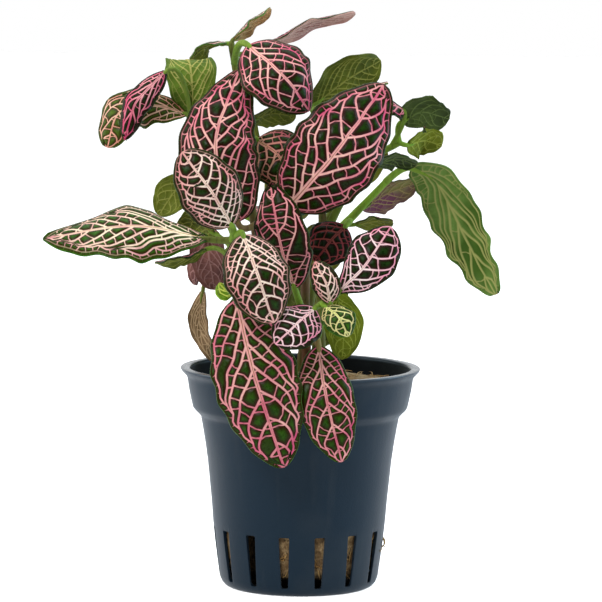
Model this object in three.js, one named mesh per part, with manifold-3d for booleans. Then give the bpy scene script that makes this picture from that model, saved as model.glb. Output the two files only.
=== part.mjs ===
// Potted nerve plant: a slotted nursery pot, its growing medium and eight leafy stems.
// Millimetres, +Z up. The origin is the middle of the pot's underside, the front is -Y.
import * as THREE from "three";
import { mergeVertices } from "three/addons/utils/BufferGeometryUtils.js";
import Module from "manifold-3d";

const wasm = await Module();
wasm.setup();

// Pot
const potHeight = 51;
const rimRadius = 27.75;
const collarTopRadius = 26.15;
const collarFootRadius = 24.85;
const collarFootHeight = 41.7;
const bodyTopRadius = 22.95;
const footRadius = 18.2;
const footCorner = 2.4;
const wall = 1;
const lipThickness = 2.1;
const lipRounding = 0.35;
const floorThickness = 1.3;
const insideCorner = 1;
const potSegments = 45;

// Slots round the foot of the pot and drain holes in its floor
const slotCount = 15;
const slotTurn = THREE.MathUtils.degToRad(14);
const slotFoot = 2.1;
const slotTop = 14.1;
const slotFootWidth = 1.5;
const slotTopWidth = 2.3;
const drainCount = 5;
const drainInner = 7;
const drainOuter = 12.5;
const drainWidth = 3;
const cutMargin = 2;

// Growing medium and the fit of everything that stands in it
const mediumTop = 46.8;
const fit = 0.35;
const mediumRounding = 1.2;
const pocketHeight = 2;
const mediumSegments = 24;

// Stems, leaf stalks and blades
const stemSides = 7;
const stemSteps = 10;
const stalkSteps = 3;
const stalkRadius = 0.75;
const stalkRoundness = 0.8;
const stalkLead = 0.35;
const midribDepth = 0.4;
const bladeThickness = 0.65;
const bladeRowLength = 4.2;
const bladeRowsLeast = 4;
const bladeWidest = 0.47;
const bladeFullness = 0.72;
const bladeEnd = 0.45;
const narrowBlade = 9.4;
const narrowColumns = 2;
const wideColumns = 4;
const rippleTurns = 2;
const rippleShift = 1.9;

// Each leafy stem is one or more shoots: the route of the shoot from the hole in the medium, or
// from inside the shoot that it grows from, to its tip, and its leaves. A leaf has the place on
// the shoot where its stalk starts (0 foot, 1 tip), the points that its midrib passes through,
// the way its upper side faces (once, or from base to tip), its width, where it is widest if
// not at the usual share of its length, how far its edges fold down as a share of the half
// width, and the ripple of its edges.
const leafyStems = [
  {
    name: "leafy_stem_front_left",
    shoots: [
      {
        radius: 1.2,
        route: [[-7.5, -8, 34], [-8, -10, 48], [-12, -20, 61], [-14.5, -27, 71], [-15.5, -31, 83]],
        leaves: [
          { at: 1, midrib: [[-21, -29, 83], [-37.5, -33, 86], [-57.5, -33, 83]],
            face: [[0, -0.6, 0.8]], width: 17, fold: 0.25, ripple: 0.7 },
          { at: 1, midrib: [[-15.5, -34, 86.5], [-20, -39, 94.5], [-26.5, -37, 103]],
            face: [[0.1, -1, 0.15]], width: 14, fold: 0.2, ripple: 0.3 },
          { at: 1, midrib: [[-13, -35, 84.5], [-9.5, -41, 76], [-6, -39.5, 65.5]],
            face: [[0.1, -1, 0.25]], width: 14.5, fold: 0.25, ripple: 0.3 },
          { at: 0.74, midrib: [[-14.5, -29, 69.5], [-10, -34, 52.5], [-3.5, -34.5, 32.5]],
            face: [[-0.05, -1, 0.2]], width: 19, fold: 0.2, ripple: 0.4 },
          { at: 0.72, midrib: [[-15.5, -27.5, 70.5], [-17, -28.5, 71.5], [-18.5, -28, 73]],
            face: [[0.2, -0.8, 0.6]], width: 4, fold: 0.4, ripple: 0 },
          { at: 0.96, midrib: [[-19.5, -20, 83.5], [-24, -17, 86], [-28, -16, 85]],
            face: [[0, 0.7, 0.7]], width: 9, fold: 0.2, ripple: 0.3 },
          { at: 0.9, midrib: [[-21.5, -21, 80], [-27, -22, 78], [-33, -22, 77]],
            face: [[0, 0.3, 1]], width: 9, fold: 0.2, ripple: 0.3 },
        ],
      },
    ],
  },
  {
    name: "leafy_stem_front_right",
    shoots: [
      {
        radius: 1.1,
        route: [[3, -7, 34], [3, -9, 48], [3.5, -20, 58], [4.5, -28, 68.5]],
        leaves: [
          { at: 1, midrib: [[8.5, -30, 71.5], [14.5, -32, 78], [20, -28, 86]],
            face: [[-0.1, -1, 0.25]], width: 11.5, fold: 0.2, ripple: 0.3 },
          { at: 1, midrib: [[6.5, -33, 69.5], [5.5, -35, 74], [3, -33, 78.5]],
            face: [[0, -1, 0.2]], width: 6.2, fold: 0.25, ripple: 0.1 },
          { at: 1, midrib: [[5.5, -34, 68.5], [8.5, -38, 66.5], [10.5, -39, 62.5]],
            face: [[-0.1, -0.7, 0.75]], width: 7.5, fold: 0.2, ripple: 0.2 },
          { at: 1, midrib: [[3, -33, 68], [-1, -38, 65], [-5.5, -38.5, 60.5]],
            face: [[-0.1, -1, 0.3]], width: 11, fold: 0.2, ripple: 0.3 },
          { at: 0.72, midrib: [[4, -28, 59], [6, -31.5, 47], [9.5, -32, 33.5]],
            face: [[0.1, -1, 0.2]], width: 12.8, fold: 0.2, ripple: 0.4 },
          { at: 0.62, midrib: [[8, -9, 69.5], [10, -6, 61.5], [9.5, -6, 53.5]],
            face: [[0.15, 1, 0.1]], width: 9, fold: 0.2, ripple: 0.2 },
        ],
      },
    ],
  },
  {
    name: "leafy_stem_centre",
    shoots: [
      {
        radius: 1.2,
        route: [[1.5, 3, 34], [1.5, 2, 48], [1, -7, 66], [0.5, -9, 78], [-3, -10, 89], [-9.5, -6, 102]],
        leaves: [
          { at: 0.82, midrib: [[-14.5, -18, 86], [-19.5, -20, 103], [-14.5, -10, 120]],
            face: [[-0.15, -1, 0.25]], width: 18, widest: 0.4, fold: 0.2, ripple: 0.5 },
          { at: 0.82, midrib: [[-3, -16, 89.5], [7, -21, 101.5], [18.5, -12, 117]],
            face: [[0.1, -1, 0.2]], width: 20.5, widest: 0.43, fold: 0.15, ripple: 0.6 },
          { at: 0.42, midrib: [[-1.5, -16, 71], [-5, -23, 83], [-7, -21, 95]],
            face: [[-0.3, -1, 0.1]], width: 12.5, fold: 0.3, ripple: 0.3 },
          { at: 1, midrib: [[-10.5, -8, 104], [-5.5, -11, 100.5], [-1.5, -11, 94]],
            face: [[0.1, -1, 0.3]], width: 14.5, fold: 0.2, ripple: 0.3 },
        ],
      },
    ],
  },
  {
    name: "leafy_stem_tall",
    shoots: [
      {
        radius: 1.1,
        route: [[-5, 6, 34], [-5, 6, 48], [-9, 6, 71], [-12.5, 3, 94], [-15, 1, 116], [-16.5, 0, 125.5]],
        leaves: [
          { at: 1, midrib: [[-16, 0, 126.5], [-12.5, 2, 130], [-7.5, 3, 133.5]],
            face: [[-0.7, 0.25, 0.7]], width: 8, fold: 0.25, ripple: 0.3 },
          { at: 1, midrib: [[-18, 0, 125.5], [-21.5, -2, 125.5], [-26, -2, 122]],
            face: [[0.1, 0.25, 1]], width: 8, fold: 0.2, ripple: 0.3 },
          { at: 0.95, midrib: [[-12.5, -10, 125.5], [-4.5, -17, 119], [1.5, -14, 111]],
            face: [[0.1, -1, 0.4]], width: 16, widest: 0.43, fold: 0.25, ripple: 0.3 },
          { at: 0.8, midrib: [[-11.5, 4, 108], [-7, 6, 109.5], [-1.5, 6, 108.5]],
            face: [[0, 0.6, 0.8]], width: 9, fold: 0.2, ripple: 0.3 },
          { at: 0.97, midrib: [[-9.5, 4, 124.5], [1.5, 8, 130], [12, 8, 132.5]],
            face: [[-0.3, 0.35, 0.9]], width: 10, fold: 0.2, ripple: 0.4 },
        ],
      },
    ],
  },
  {
    name: "leafy_stem_left",
    shoots: [
      {
        radius: 1.1,
        route: [[-9, 10, 34], [-9, 10, 48], [-12, 10, 69], [-17, 9, 84], [-22.5, 8, 95], [-26, 7, 107.5]],
        leaves: [
          { at: 1,
            midrib: [[-25.5, 7, 108.5], [-25.5, 5, 114], [-26, 6, 119.5], [-27, 11, 121], [-28, 16, 118]],
            face: [[0, 1, 0.1], [0, 0.8, -0.5], [0, -0.3, -1]], width: 11.5, fold: 0.08, ripple: 0.3 },
          { at: 1,
            midrib: [[-27, 5, 109], [-34, 2, 111], [-40, 0, 110.5], [-43, -2, 108], [-44.5, -3, 101.5]],
            face: [[0, -0.85, 0.5], [-0.5, -0.8, 0.2]], width: 9.5, fold: 0.2, ripple: 0.5 },
          { at: 0.98, midrib: [[-31.5, -3, 119], [-35.5, -5, 115], [-38.5, -6, 111], [-40.5, -6, 103.5]],
            face: [[0, -1, 0.3]], width: 7.5, fold: 0.6, ripple: 0.3 },
          { at: 0.8, midrib: [[-25.5, 2, 94], [-29.5, 3, 91], [-33, 3, 85.5]],
            face: [[0.3, 1, 0.2]], width: 8, fold: 0.2, ripple: 0.4 },
          { at: 0.6, midrib: [[-23, 12, 67], [-23.5, 13, 59], [-21.5, 11, 54.5], [-20, 9, 51]],
            face: [[0.6, 0.8, 0.1]], width: 5.5, fold: 0.3, ripple: 0.3 },
          { at: 0.74, midrib: [[-21, -12, 84], [-21, -14, 78], [-19.5, -12, 70]],
            face: [[0.2, 1, 0]], width: 8, fold: 0.3, ripple: 0.3 },
          { at: 0.7, midrib: [[-22, -6, 80.5], [-23.5, -8, 76], [-24.5, -6, 70.5]],
            face: [[0.8, 0.6, 0]], width: 6, fold: 0.3, ripple: 0.2 },
        ],
      },
    ],
  },
  {
    name: "leafy_stem_right",
    shoots: [
      {
        radius: 1.2,
        route: [[5, 8, 34], [5, 8, 48], [4.5, 8, 66], [6, 7, 78.5], [10.5, 7, 84], [19.5, 8, 93.5]],
        leaves: [
          { at: 1, midrib: [[25.5, 10, 96.5], [30, 12, 94.5], [33.5, 13, 90], [40, 13, 77], [45.5, 11, 67]],
            face: [[0, 0.8, 0.6], [0.35, 1, 0.2]], width: 12, widest: 0.42, fold: 0.15, ripple: 0.5 },
          { at: 0.85, midrib: [[14, 12.5, 87], [20, 14.5, 90.5], [27, 15, 93]],
            face: [[0, 0.6, 0.8]], width: 11, fold: 0.2, ripple: 0.3 },
          { at: 0.8, midrib: [[12.5, 2, 84], [17, 2, 85], [21, 0, 85]],
            face: [[0, 0.5, 0.9]], width: 7, fold: 0.2, ripple: 0.2 },
          { at: 0.78, midrib: [[10, -4, 84], [6.5, -6, 80.5], [3, -6, 76]],
            face: [[-0.1, -1, 0.2]], width: 7, fold: 0.2, ripple: 0.2 },
        ],
      },
    ],
  },
  {
    name: "leafy_stem_back_right",
    shoots: [
      {
        radius: 1.2,
        route: [
          [0, 14, 34], [0, 14, 48], [3, 14, 70], [5.5, 13, 80],
          [10, 11, 90], [16, 10, 98.5], [22.5, 9, 102.5],
        ],
        leaves: [
          { at: 1, midrib: [[23, 7, 107.5], [27.5, 5, 110], [34, 6, 108.5]],
            face: [[0, 0.8, 0.6]], width: 10, fold: 0.2, ripple: 0.4 },
          { at: 1, midrib: [[24.5, 9.5, 102], [28.5, 13, 103], [32.5, 15, 101.5]],
            face: [[0, 0.8, 0.5]], width: 9, fold: 0.2, ripple: 0.3 },
          { at: 0.85, midrib: [[16.5, 1, 98], [21.5, 1, 99.5], [26.5, 2, 98]],
            face: [[0, 0.4, 0.9]], width: 9, fold: 0.2, ripple: 0.3 },
          { at: 0.97, midrib: [[23, 3, 110.5], [21, 0, 111.5], [18.5, -2, 111.5]],
            face: [[0, -0.8, 0.6]], width: 6, fold: 0.2, ripple: 0.2 },
        ],
      },
      {
        radius: 1,
        route: [[5, 13, 78], [4.5, 11, 92], [3.5, 9, 103], [2.5, 7, 110]],
        leaves: [
          { at: 1, midrib: [[2.5, 9, 111], [10, 10, 117], [18, 13, 121.5]],
            face: [[-0.2, 1, 0.4]], width: 11.5, fold: 0.2, ripple: 0.6 },
          { at: 1, midrib: [[4.5, 2, 111.5], [11.5, -2, 115], [19.5, -3, 117]],
            face: [[-0.2, -0.25, 1]], width: 9, fold: 0.2, ripple: 0.4 },
        ],
      },
    ],
  },
  {
    name: "leafy_stem_back",
    shoots: [
      {
        radius: 1.2,
        route: [[-6, 16, 34], [-6, 16, 48], [-7, 20, 66], [-8, 21, 84], [-8, 20, 97]],
        leaves: [
          { at: 0.55, midrib: [[-9.5, 24, 68], [-10, 33, 58], [-9.5, 36, 43]],
            face: [[0, 1, 0.3]], width: 17, fold: 0.2, ripple: 0.4 },
          { at: 0.78, midrib: [[-13, 21, 84], [-19, 28, 87], [-23, 35, 82]],
            face: [[-0.2, 0.5, 0.85]], width: 15, fold: 0.2, ripple: 0.4 },
          { at: 0.8, midrib: [[-6, 26, 84], [-5, 36, 86], [-4, 45, 81]],
            face: [[0, 0.3, 0.95]], width: 15, fold: 0.2, ripple: 0.4 },
          { at: 1, midrib: [[-11, 22, 98], [-16, 25, 103], [-17.5, 26, 110]],
            face: [[-0.2, 1, 0.3]], width: 13, fold: 0.2, ripple: 0.4 },
          { at: 1, midrib: [[-5, 23, 97], [-1, 30, 99], [1, 37, 97]],
            face: [[0.1, 0.7, 0.7]], width: 13, fold: 0.2, ripple: 0.4 },
        ],
      },
      {
        radius: 1,
        route: [[-6.5, 19, 60], [-1, 22, 70], [5, 24, 80], [8, 24, 88]],
        leaves: [
          { at: 0.45, midrib: [[1, 26, 70], [4, 34, 63], [5, 39, 51]],
            face: [[0, 1, 0.4]], width: 15, fold: 0.2, ripple: 0.4 },
          { at: 1, midrib: [[9.5, 25, 91], [13, 28, 99], [15, 28, 107]],
            face: [[0.2, 1, 0.2]], width: 15, fold: 0.2, ripple: 0.4 },
          { at: 0.9, midrib: [[5.5, 28, 82], [5, 35, 77], [4.5, 39, 68]],
            face: [[0.1, 0.8, 0.6]], width: 11, fold: 0.2, ripple: 0.4 },
        ],
      },
    ],
  },
];

const scratch = new THREE.Vector3();

// A smooth curve through hand-chosen points
function curveThrough(points) {
  const places = points.map(([x, y, z]) => new THREE.Vector3(x, y, z));
  return new THREE.CatmullRomCurve3(places, false, "catmullrom", 0.5);
}

// The geometry's own triangles as a solid that can be joined and cut
function solidFrom(geometry) {
  geometry.deleteAttribute("normal");
  geometry.deleteAttribute("uv");
  const merged = mergeVertices(geometry, 1e-4);
  const vertProperties = Float32Array.from(merged.attributes.position.array);
  const triVerts = Uint32Array.from(merged.index.array);
  return new wasm.Manifold(new wasm.Mesh({ numProp: 3, vertProperties, triVerts }));
}

function meshFrom(solid, name, colour, roughness) {
  const { vertProperties, triVerts } = solid.getMesh();
  const geometry = new THREE.BufferGeometry();
  geometry.setAttribute("position", new THREE.BufferAttribute(vertProperties, 3));
  geometry.setIndex(new THREE.BufferAttribute(triVerts, 1));
  geometry.computeVertexNormals();
  const material = new THREE.MeshStandardMaterial({ color: colour, roughness, metalness: 0 });
  const mesh = new THREE.Mesh(geometry, material);
  mesh.name = name;
  return mesh;
}

function tube(curve, radius, sides, steps) {
  const corners = [];
  for (let side = 0; side < sides; side++) {
    const angle = (2 * Math.PI * side) / sides;
    corners.push(new THREE.Vector2(radius * Math.cos(angle), radius * Math.sin(angle)));
  }
  const options = { steps, bevelEnabled: false, extrudePath: curve };
  return solidFrom(new THREE.ExtrudeGeometry(new THREE.Shape(corners), options));
}

function turned(profile, segments) {
  const points = profile.map(([radius, height]) => new THREE.Vector2(radius, height));
  const geometry = new THREE.LatheGeometry(points, segments);
  geometry.rotateX(Math.PI / 2);
  return solidFrom(geometry);
}

// Inside radius of the pot's wall below the collar
function insideRadius(height) {
  const share = (height - footCorner) / (collarFootHeight - footCorner);
  return footRadius + share * (bodyTopRadius - footRadius) - wall;
}

function potWall() {
  const corner = [];
  for (let step = 0; step <= 3; step++) {
    const angle = (step / 3) * (Math.PI / 2);
    corner.push([
      footRadius - footCorner * (1 - Math.sin(angle)),
      footCorner * (1 - Math.cos(angle)),
    ]);
  }
  const stepHeight = bodyTopRadius - collarFootRadius + collarFootHeight;
  return turned(
    [
      [0, 0],
      ...corner,
      [bodyTopRadius, stepHeight],
      [collarFootRadius, collarFootHeight],
      [collarTopRadius, potHeight - lipThickness],
      [rimRadius, potHeight - lipThickness * 0.25],
      [rimRadius - lipRounding, potHeight],
      [collarTopRadius - wall + lipRounding, potHeight],
      [collarTopRadius - wall, potHeight - lipThickness],
      [collarFootRadius - wall, collarFootHeight],
      [bodyTopRadius - wall, stepHeight],
      [insideRadius(footCorner), footCorner],
      [insideRadius(footCorner) - insideCorner, floorThickness],
      [0, floorThickness],
    ],
    potSegments,
  );
}

// A tapered slot through the wall, pointing along -Y before it is turned
function slotCutter(angle) {
  const outline = new THREE.Shape([
    new THREE.Vector2(-slotFootWidth / 2, slotFoot),
    new THREE.Vector2(slotFootWidth / 2, slotFoot),
    new THREE.Vector2(slotTopWidth / 2, slotTop),
    new THREE.Vector2(-slotTopWidth / 2, slotTop),
  ]);
  const start = insideRadius(footCorner) - cutMargin;
  const depth = bodyTopRadius + cutMargin - start;
  const geometry = new THREE.ExtrudeGeometry(outline, { depth, bevelEnabled: false });
  geometry.rotateX(Math.PI / 2);
  geometry.translate(0, -start, 0);
  geometry.rotateZ(angle);
  return solidFrom(geometry);
}

function drainCutter(angle) {
  const length = drainOuter - drainInner;
  const geometry = new THREE.BoxGeometry(drainWidth, length, 2 * (floorThickness + cutMargin));
  geometry.translate(0, -(drainInner + drainOuter) / 2, 0);
  geometry.rotateZ(angle);
  return solidFrom(geometry);
}

function potSolid() {
  let pot = potWall();
  for (let index = 0; index < slotCount; index++) {
    pot = pot.subtract(slotCutter(slotTurn + (2 * Math.PI * index) / slotCount));
  }
  for (let index = 0; index < drainCount; index++) {
    pot = pot.subtract(drainCutter((2 * Math.PI * (index + 0.5)) / drainCount));
  }
  return pot;
}

// Direction that a blade's upper side faces, at a share of its length
function faceAt(leaf, along) {
  const last = leaf.face.length - 1;
  if (last === 0) {
    return new THREE.Vector3(...leaf.face[0]);
  }
  const place = Math.min(along * last, last - 1e-6);
  const index = Math.floor(place);
  const before = new THREE.Vector3(...leaf.face[index]);
  return before.lerp(scratch.set(...leaf.face[index + 1]), place - index);
}

function halfWidthAt(leaf, along) {
  const lean = Math.log(0.5) / Math.log(leaf.widest ?? bladeWidest);
  const fullness = Math.sin(Math.PI * Math.min(along ** lean, 1)) ** bladeFullness;
  const least = along < 0.5 ? stalkRadius : bladeEnd;
  return Math.max((leaf.width / 2) * fullness, least);
}

// The blade's cross-section at a share of its length: where its middle is, the way across it,
// the way up from it, and its half width
function bladeFrame(leaf, curve, along) {
  const forward = curve.getTangentAt(along);
  const side = new THREE.Vector3().crossVectors(forward, faceAt(leaf, along)).normalize();
  const up = new THREE.Vector3().crossVectors(side, forward).normalize();
  return { middle: curve.getPointAt(along), side, up, half: halfWidthAt(leaf, along) };
}

// How far the blade's edge is off its flat cross-section, on the side that across is on
function edgeLift(leaf, along, across) {
  const turn = 2 * Math.PI * rippleTurns * along + (across > 0 ? rippleShift : 0);
  return leaf.ripple * Math.sin(turn) - leaf.fold * halfWidthAt(leaf, along);
}

// Points across a section from -1 to 1, raised or sunk off its middle surface
function sectionPoints(frame, columns, lift) {
  const points = [];
  for (let column = 0; column <= columns; column++) {
    const across = (2 * column) / columns - 1;
    points.push(
      frame.middle
        .clone()
        .addScaledVector(frame.side, across * frame.half)
        .addScaledVector(frame.up, lift(across)),
    );
  }
  return points;
}

// A leaf in one piece: its stalk starts in the middle of the shoot and flattens into the blade
function leafSolid(leaf, shootCurve) {
  const midrib = curveThrough(leaf.midrib);
  const columns = leaf.width < narrowBlade ? narrowColumns : wideColumns;
  const first = bladeFrame(leaf, midrib, 0);
  const start = shootCurve.getPointAt(leaf.at);
  const lead = midrib.getTangentAt(0).multiplyScalar(-stalkLead * start.distanceTo(first.middle));
  const bend = first.middle.clone().add(lead);
  const stalk = new THREE.QuadraticBezierCurve3(start, bend, first.middle);
  const top = [];
  const under = [];
  let side = first.side;
  for (let step = stalkSteps - 1; step >= 0; step--) {
    const forward = stalk.getTangent(step / stalkSteps);
    side = side.clone().addScaledVector(forward, -side.dot(forward)).normalize();
    const up = new THREE.Vector3().crossVectors(side, forward);
    const frame = { middle: stalk.getPoint(step / stalkSteps), side, up, half: stalkRadius };
    const round = (across) => stalkRadius * Math.sqrt(1 - stalkRoundness * across * across);
    top.unshift(sectionPoints(frame, columns, round));
    under.unshift(sectionPoints(frame, columns, (across) => -round(across)));
  }
  const rows = Math.max(Math.round(midrib.getLength() / bladeRowLength), bladeRowsLeast);
  for (let row = 0; row <= rows; row++) {
    const along = row / rows;
    const frame = bladeFrame(leaf, midrib, along);
    const middle = (across) => across * across * edgeLift(leaf, along, across);
    const slope = (across) => (2 * across * edgeLift(leaf, along, across)) / frame.half;
    const skin = (across) => (bladeThickness / 2) * Math.hypot(1, slope(across));
    const rib = (across) => (across === 0 ? midribDepth * (1 - along) : 0);
    top.push(sectionPoints(frame, columns, (across) => middle(across) + skin(across)));
    under.push(
      sectionPoints(frame, columns, (across) => middle(across) - skin(across) - rib(across)),
    );
  }
  return loftedSolid(top, under);
}

// Closes two grids of points, the upper and the under side, into one solid
function loftedSolid(top, under) {
  const columns = top[0].length;
  const last = top.length - 1;
  const below = columns * top.length;
  const index = [];
  const quad = (a, b, c, d) => index.push(a, b, c, a, c, d);
  for (let row = 0; row < last; row++) {
    for (let column = 0; column < columns - 1; column++) {
      const corner = row * columns + column;
      const beyond = corner + columns;
      quad(corner, corner + 1, beyond + 1, beyond);
      index.push(below + corner, below + beyond + 1, below + corner + 1);
      index.push(below + corner, below + beyond, below + beyond + 1);
    }
    const left = row * columns;
    const right = left + columns - 1;
    quad(left, left + columns, below + left + columns, below + left);
    quad(right + columns, right, below + right, below + right + columns);
  }
  for (let column = 0; column < columns - 1; column++) {
    const tip = last * columns + column;
    quad(column + 1, column, below + column, below + column + 1);
    quad(tip, tip + 1, below + tip + 1, below + tip);
  }
  const positions = [...top, ...under].flat().flatMap((point) => point.toArray());
  const geometry = new THREE.BufferGeometry();
  geometry.setAttribute("position", new THREE.Float32BufferAttribute(positions, 3));
  geometry.setIndex(index);
  return solidFrom(geometry);
}

function leafyStemSolid(leafyStem) {
  const pieces = [];
  for (const shoot of leafyStem.shoots) {
    const curve = curveThrough(shoot.route);
    pieces.push(tube(curve, shoot.radius, stemSides, stemSteps));
    for (const leaf of shoot.leaves) {
      pieces.push(leafSolid(leaf, curve));
    }
  }
  return wasm.Manifold.union(pieces);
}

// The medium fills the pot to below its rim, and each stem stands in its own hole
function mediumSolid() {
  const foot = floorThickness + fit;
  const throat = bodyTopRadius - wall - fit;
  let medium = turned(
    [
      [0, foot],
      [insideRadius(footCorner) - insideCorner - fit, foot],
      [insideRadius(footCorner) - fit, footCorner + fit],
      [throat, collarFootHeight - collarFootRadius + bodyTopRadius],
      [throat + mediumRounding, mediumTop - mediumRounding],
      [throat, mediumTop],
      [0, mediumTop],
    ],
    mediumSegments,
  );
  for (const leafyStem of leafyStems) {
    const { radius, route } = leafyStem.shoots[0];
    const pocket = new THREE.CylinderGeometry(radius + fit, radius + fit, pocketHeight, stemSides);
    pocket.rotateX(Math.PI / 2);
    pocket.translate(...route[0]);
    medium = medium.subtract(solidFrom(pocket));
    medium = medium.subtract(tube(curveThrough(route), radius + fit, stemSides, stemSteps));
  }
  return medium;
}

const plant = new THREE.Group();
plant.add(meshFrom(potSolid(), "pot", 0x2c323b, 0.42));
plant.add(meshFrom(mediumSolid(), "growing_medium", 0x8a7550, 0.95));
for (const leafyStem of leafyStems) {
  plant.add(meshFrom(leafyStemSolid(leafyStem), leafyStem.name, 0x35521f, 0.5));
}

export default plant;
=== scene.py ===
# Potted nerve plant: a slotted net pot, its growing medium and eight stems of net-veined leaves
import math
import random

import bmesh
import bpy
import numpy as np
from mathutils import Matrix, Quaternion, Vector, noise
from mathutils.geometry import delaunay_2d_cdt, tessellate_polygon


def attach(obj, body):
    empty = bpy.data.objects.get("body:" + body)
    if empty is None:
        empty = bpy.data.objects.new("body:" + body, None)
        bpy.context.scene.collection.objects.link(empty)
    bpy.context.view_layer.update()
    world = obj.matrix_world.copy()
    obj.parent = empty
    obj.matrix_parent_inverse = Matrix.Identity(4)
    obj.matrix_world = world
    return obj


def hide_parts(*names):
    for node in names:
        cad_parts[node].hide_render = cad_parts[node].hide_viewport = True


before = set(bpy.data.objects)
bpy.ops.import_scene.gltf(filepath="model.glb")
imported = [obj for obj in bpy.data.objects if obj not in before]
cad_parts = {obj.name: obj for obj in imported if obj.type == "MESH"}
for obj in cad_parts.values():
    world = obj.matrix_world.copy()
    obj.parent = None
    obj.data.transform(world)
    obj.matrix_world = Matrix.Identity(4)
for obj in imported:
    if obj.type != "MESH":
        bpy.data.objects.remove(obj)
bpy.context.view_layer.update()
print("frame loaded")

mm = 0.001  # the lists below are in millimetres, Blender works in metres

# What every leaf has, unless its own line below says otherwise
leafForm = {
    "look": "pink olive green",  # its upper side, its underside and its stalk
    "fold": 0.2,  # how far its sides rise
    "ripple": 0.3,
    "widest": 0.47,  # the share of the length where it is widest
    "fullness": 0.56,
    "lobe": 0.03,
    "wave": 1,  # strength of the crimped edge
    "cells": 1,
    "veins": 1,
    "rungs": 1,
    "reach": 0.47,  # how far along the leaf a side vein runs
    "crowding": 1.13,  # how much closer the side veins stand at the base
}


# A leaf has the place on the shoot where its stalk starts, the points of its midrib, the ways its
# upper side faces from base to tip, and its width
def leafOf(at, midrib, faces, width, look=leafForm["look"], **others):
    own = {"at": at, "midrib": midrib, "faces": faces, "width": width, "look": look}
    return {**leafForm, **own, **others}


def shootOf(radius, route, leaves):
    return {"radius": radius, "route": route, "leaves": leaves}


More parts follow.
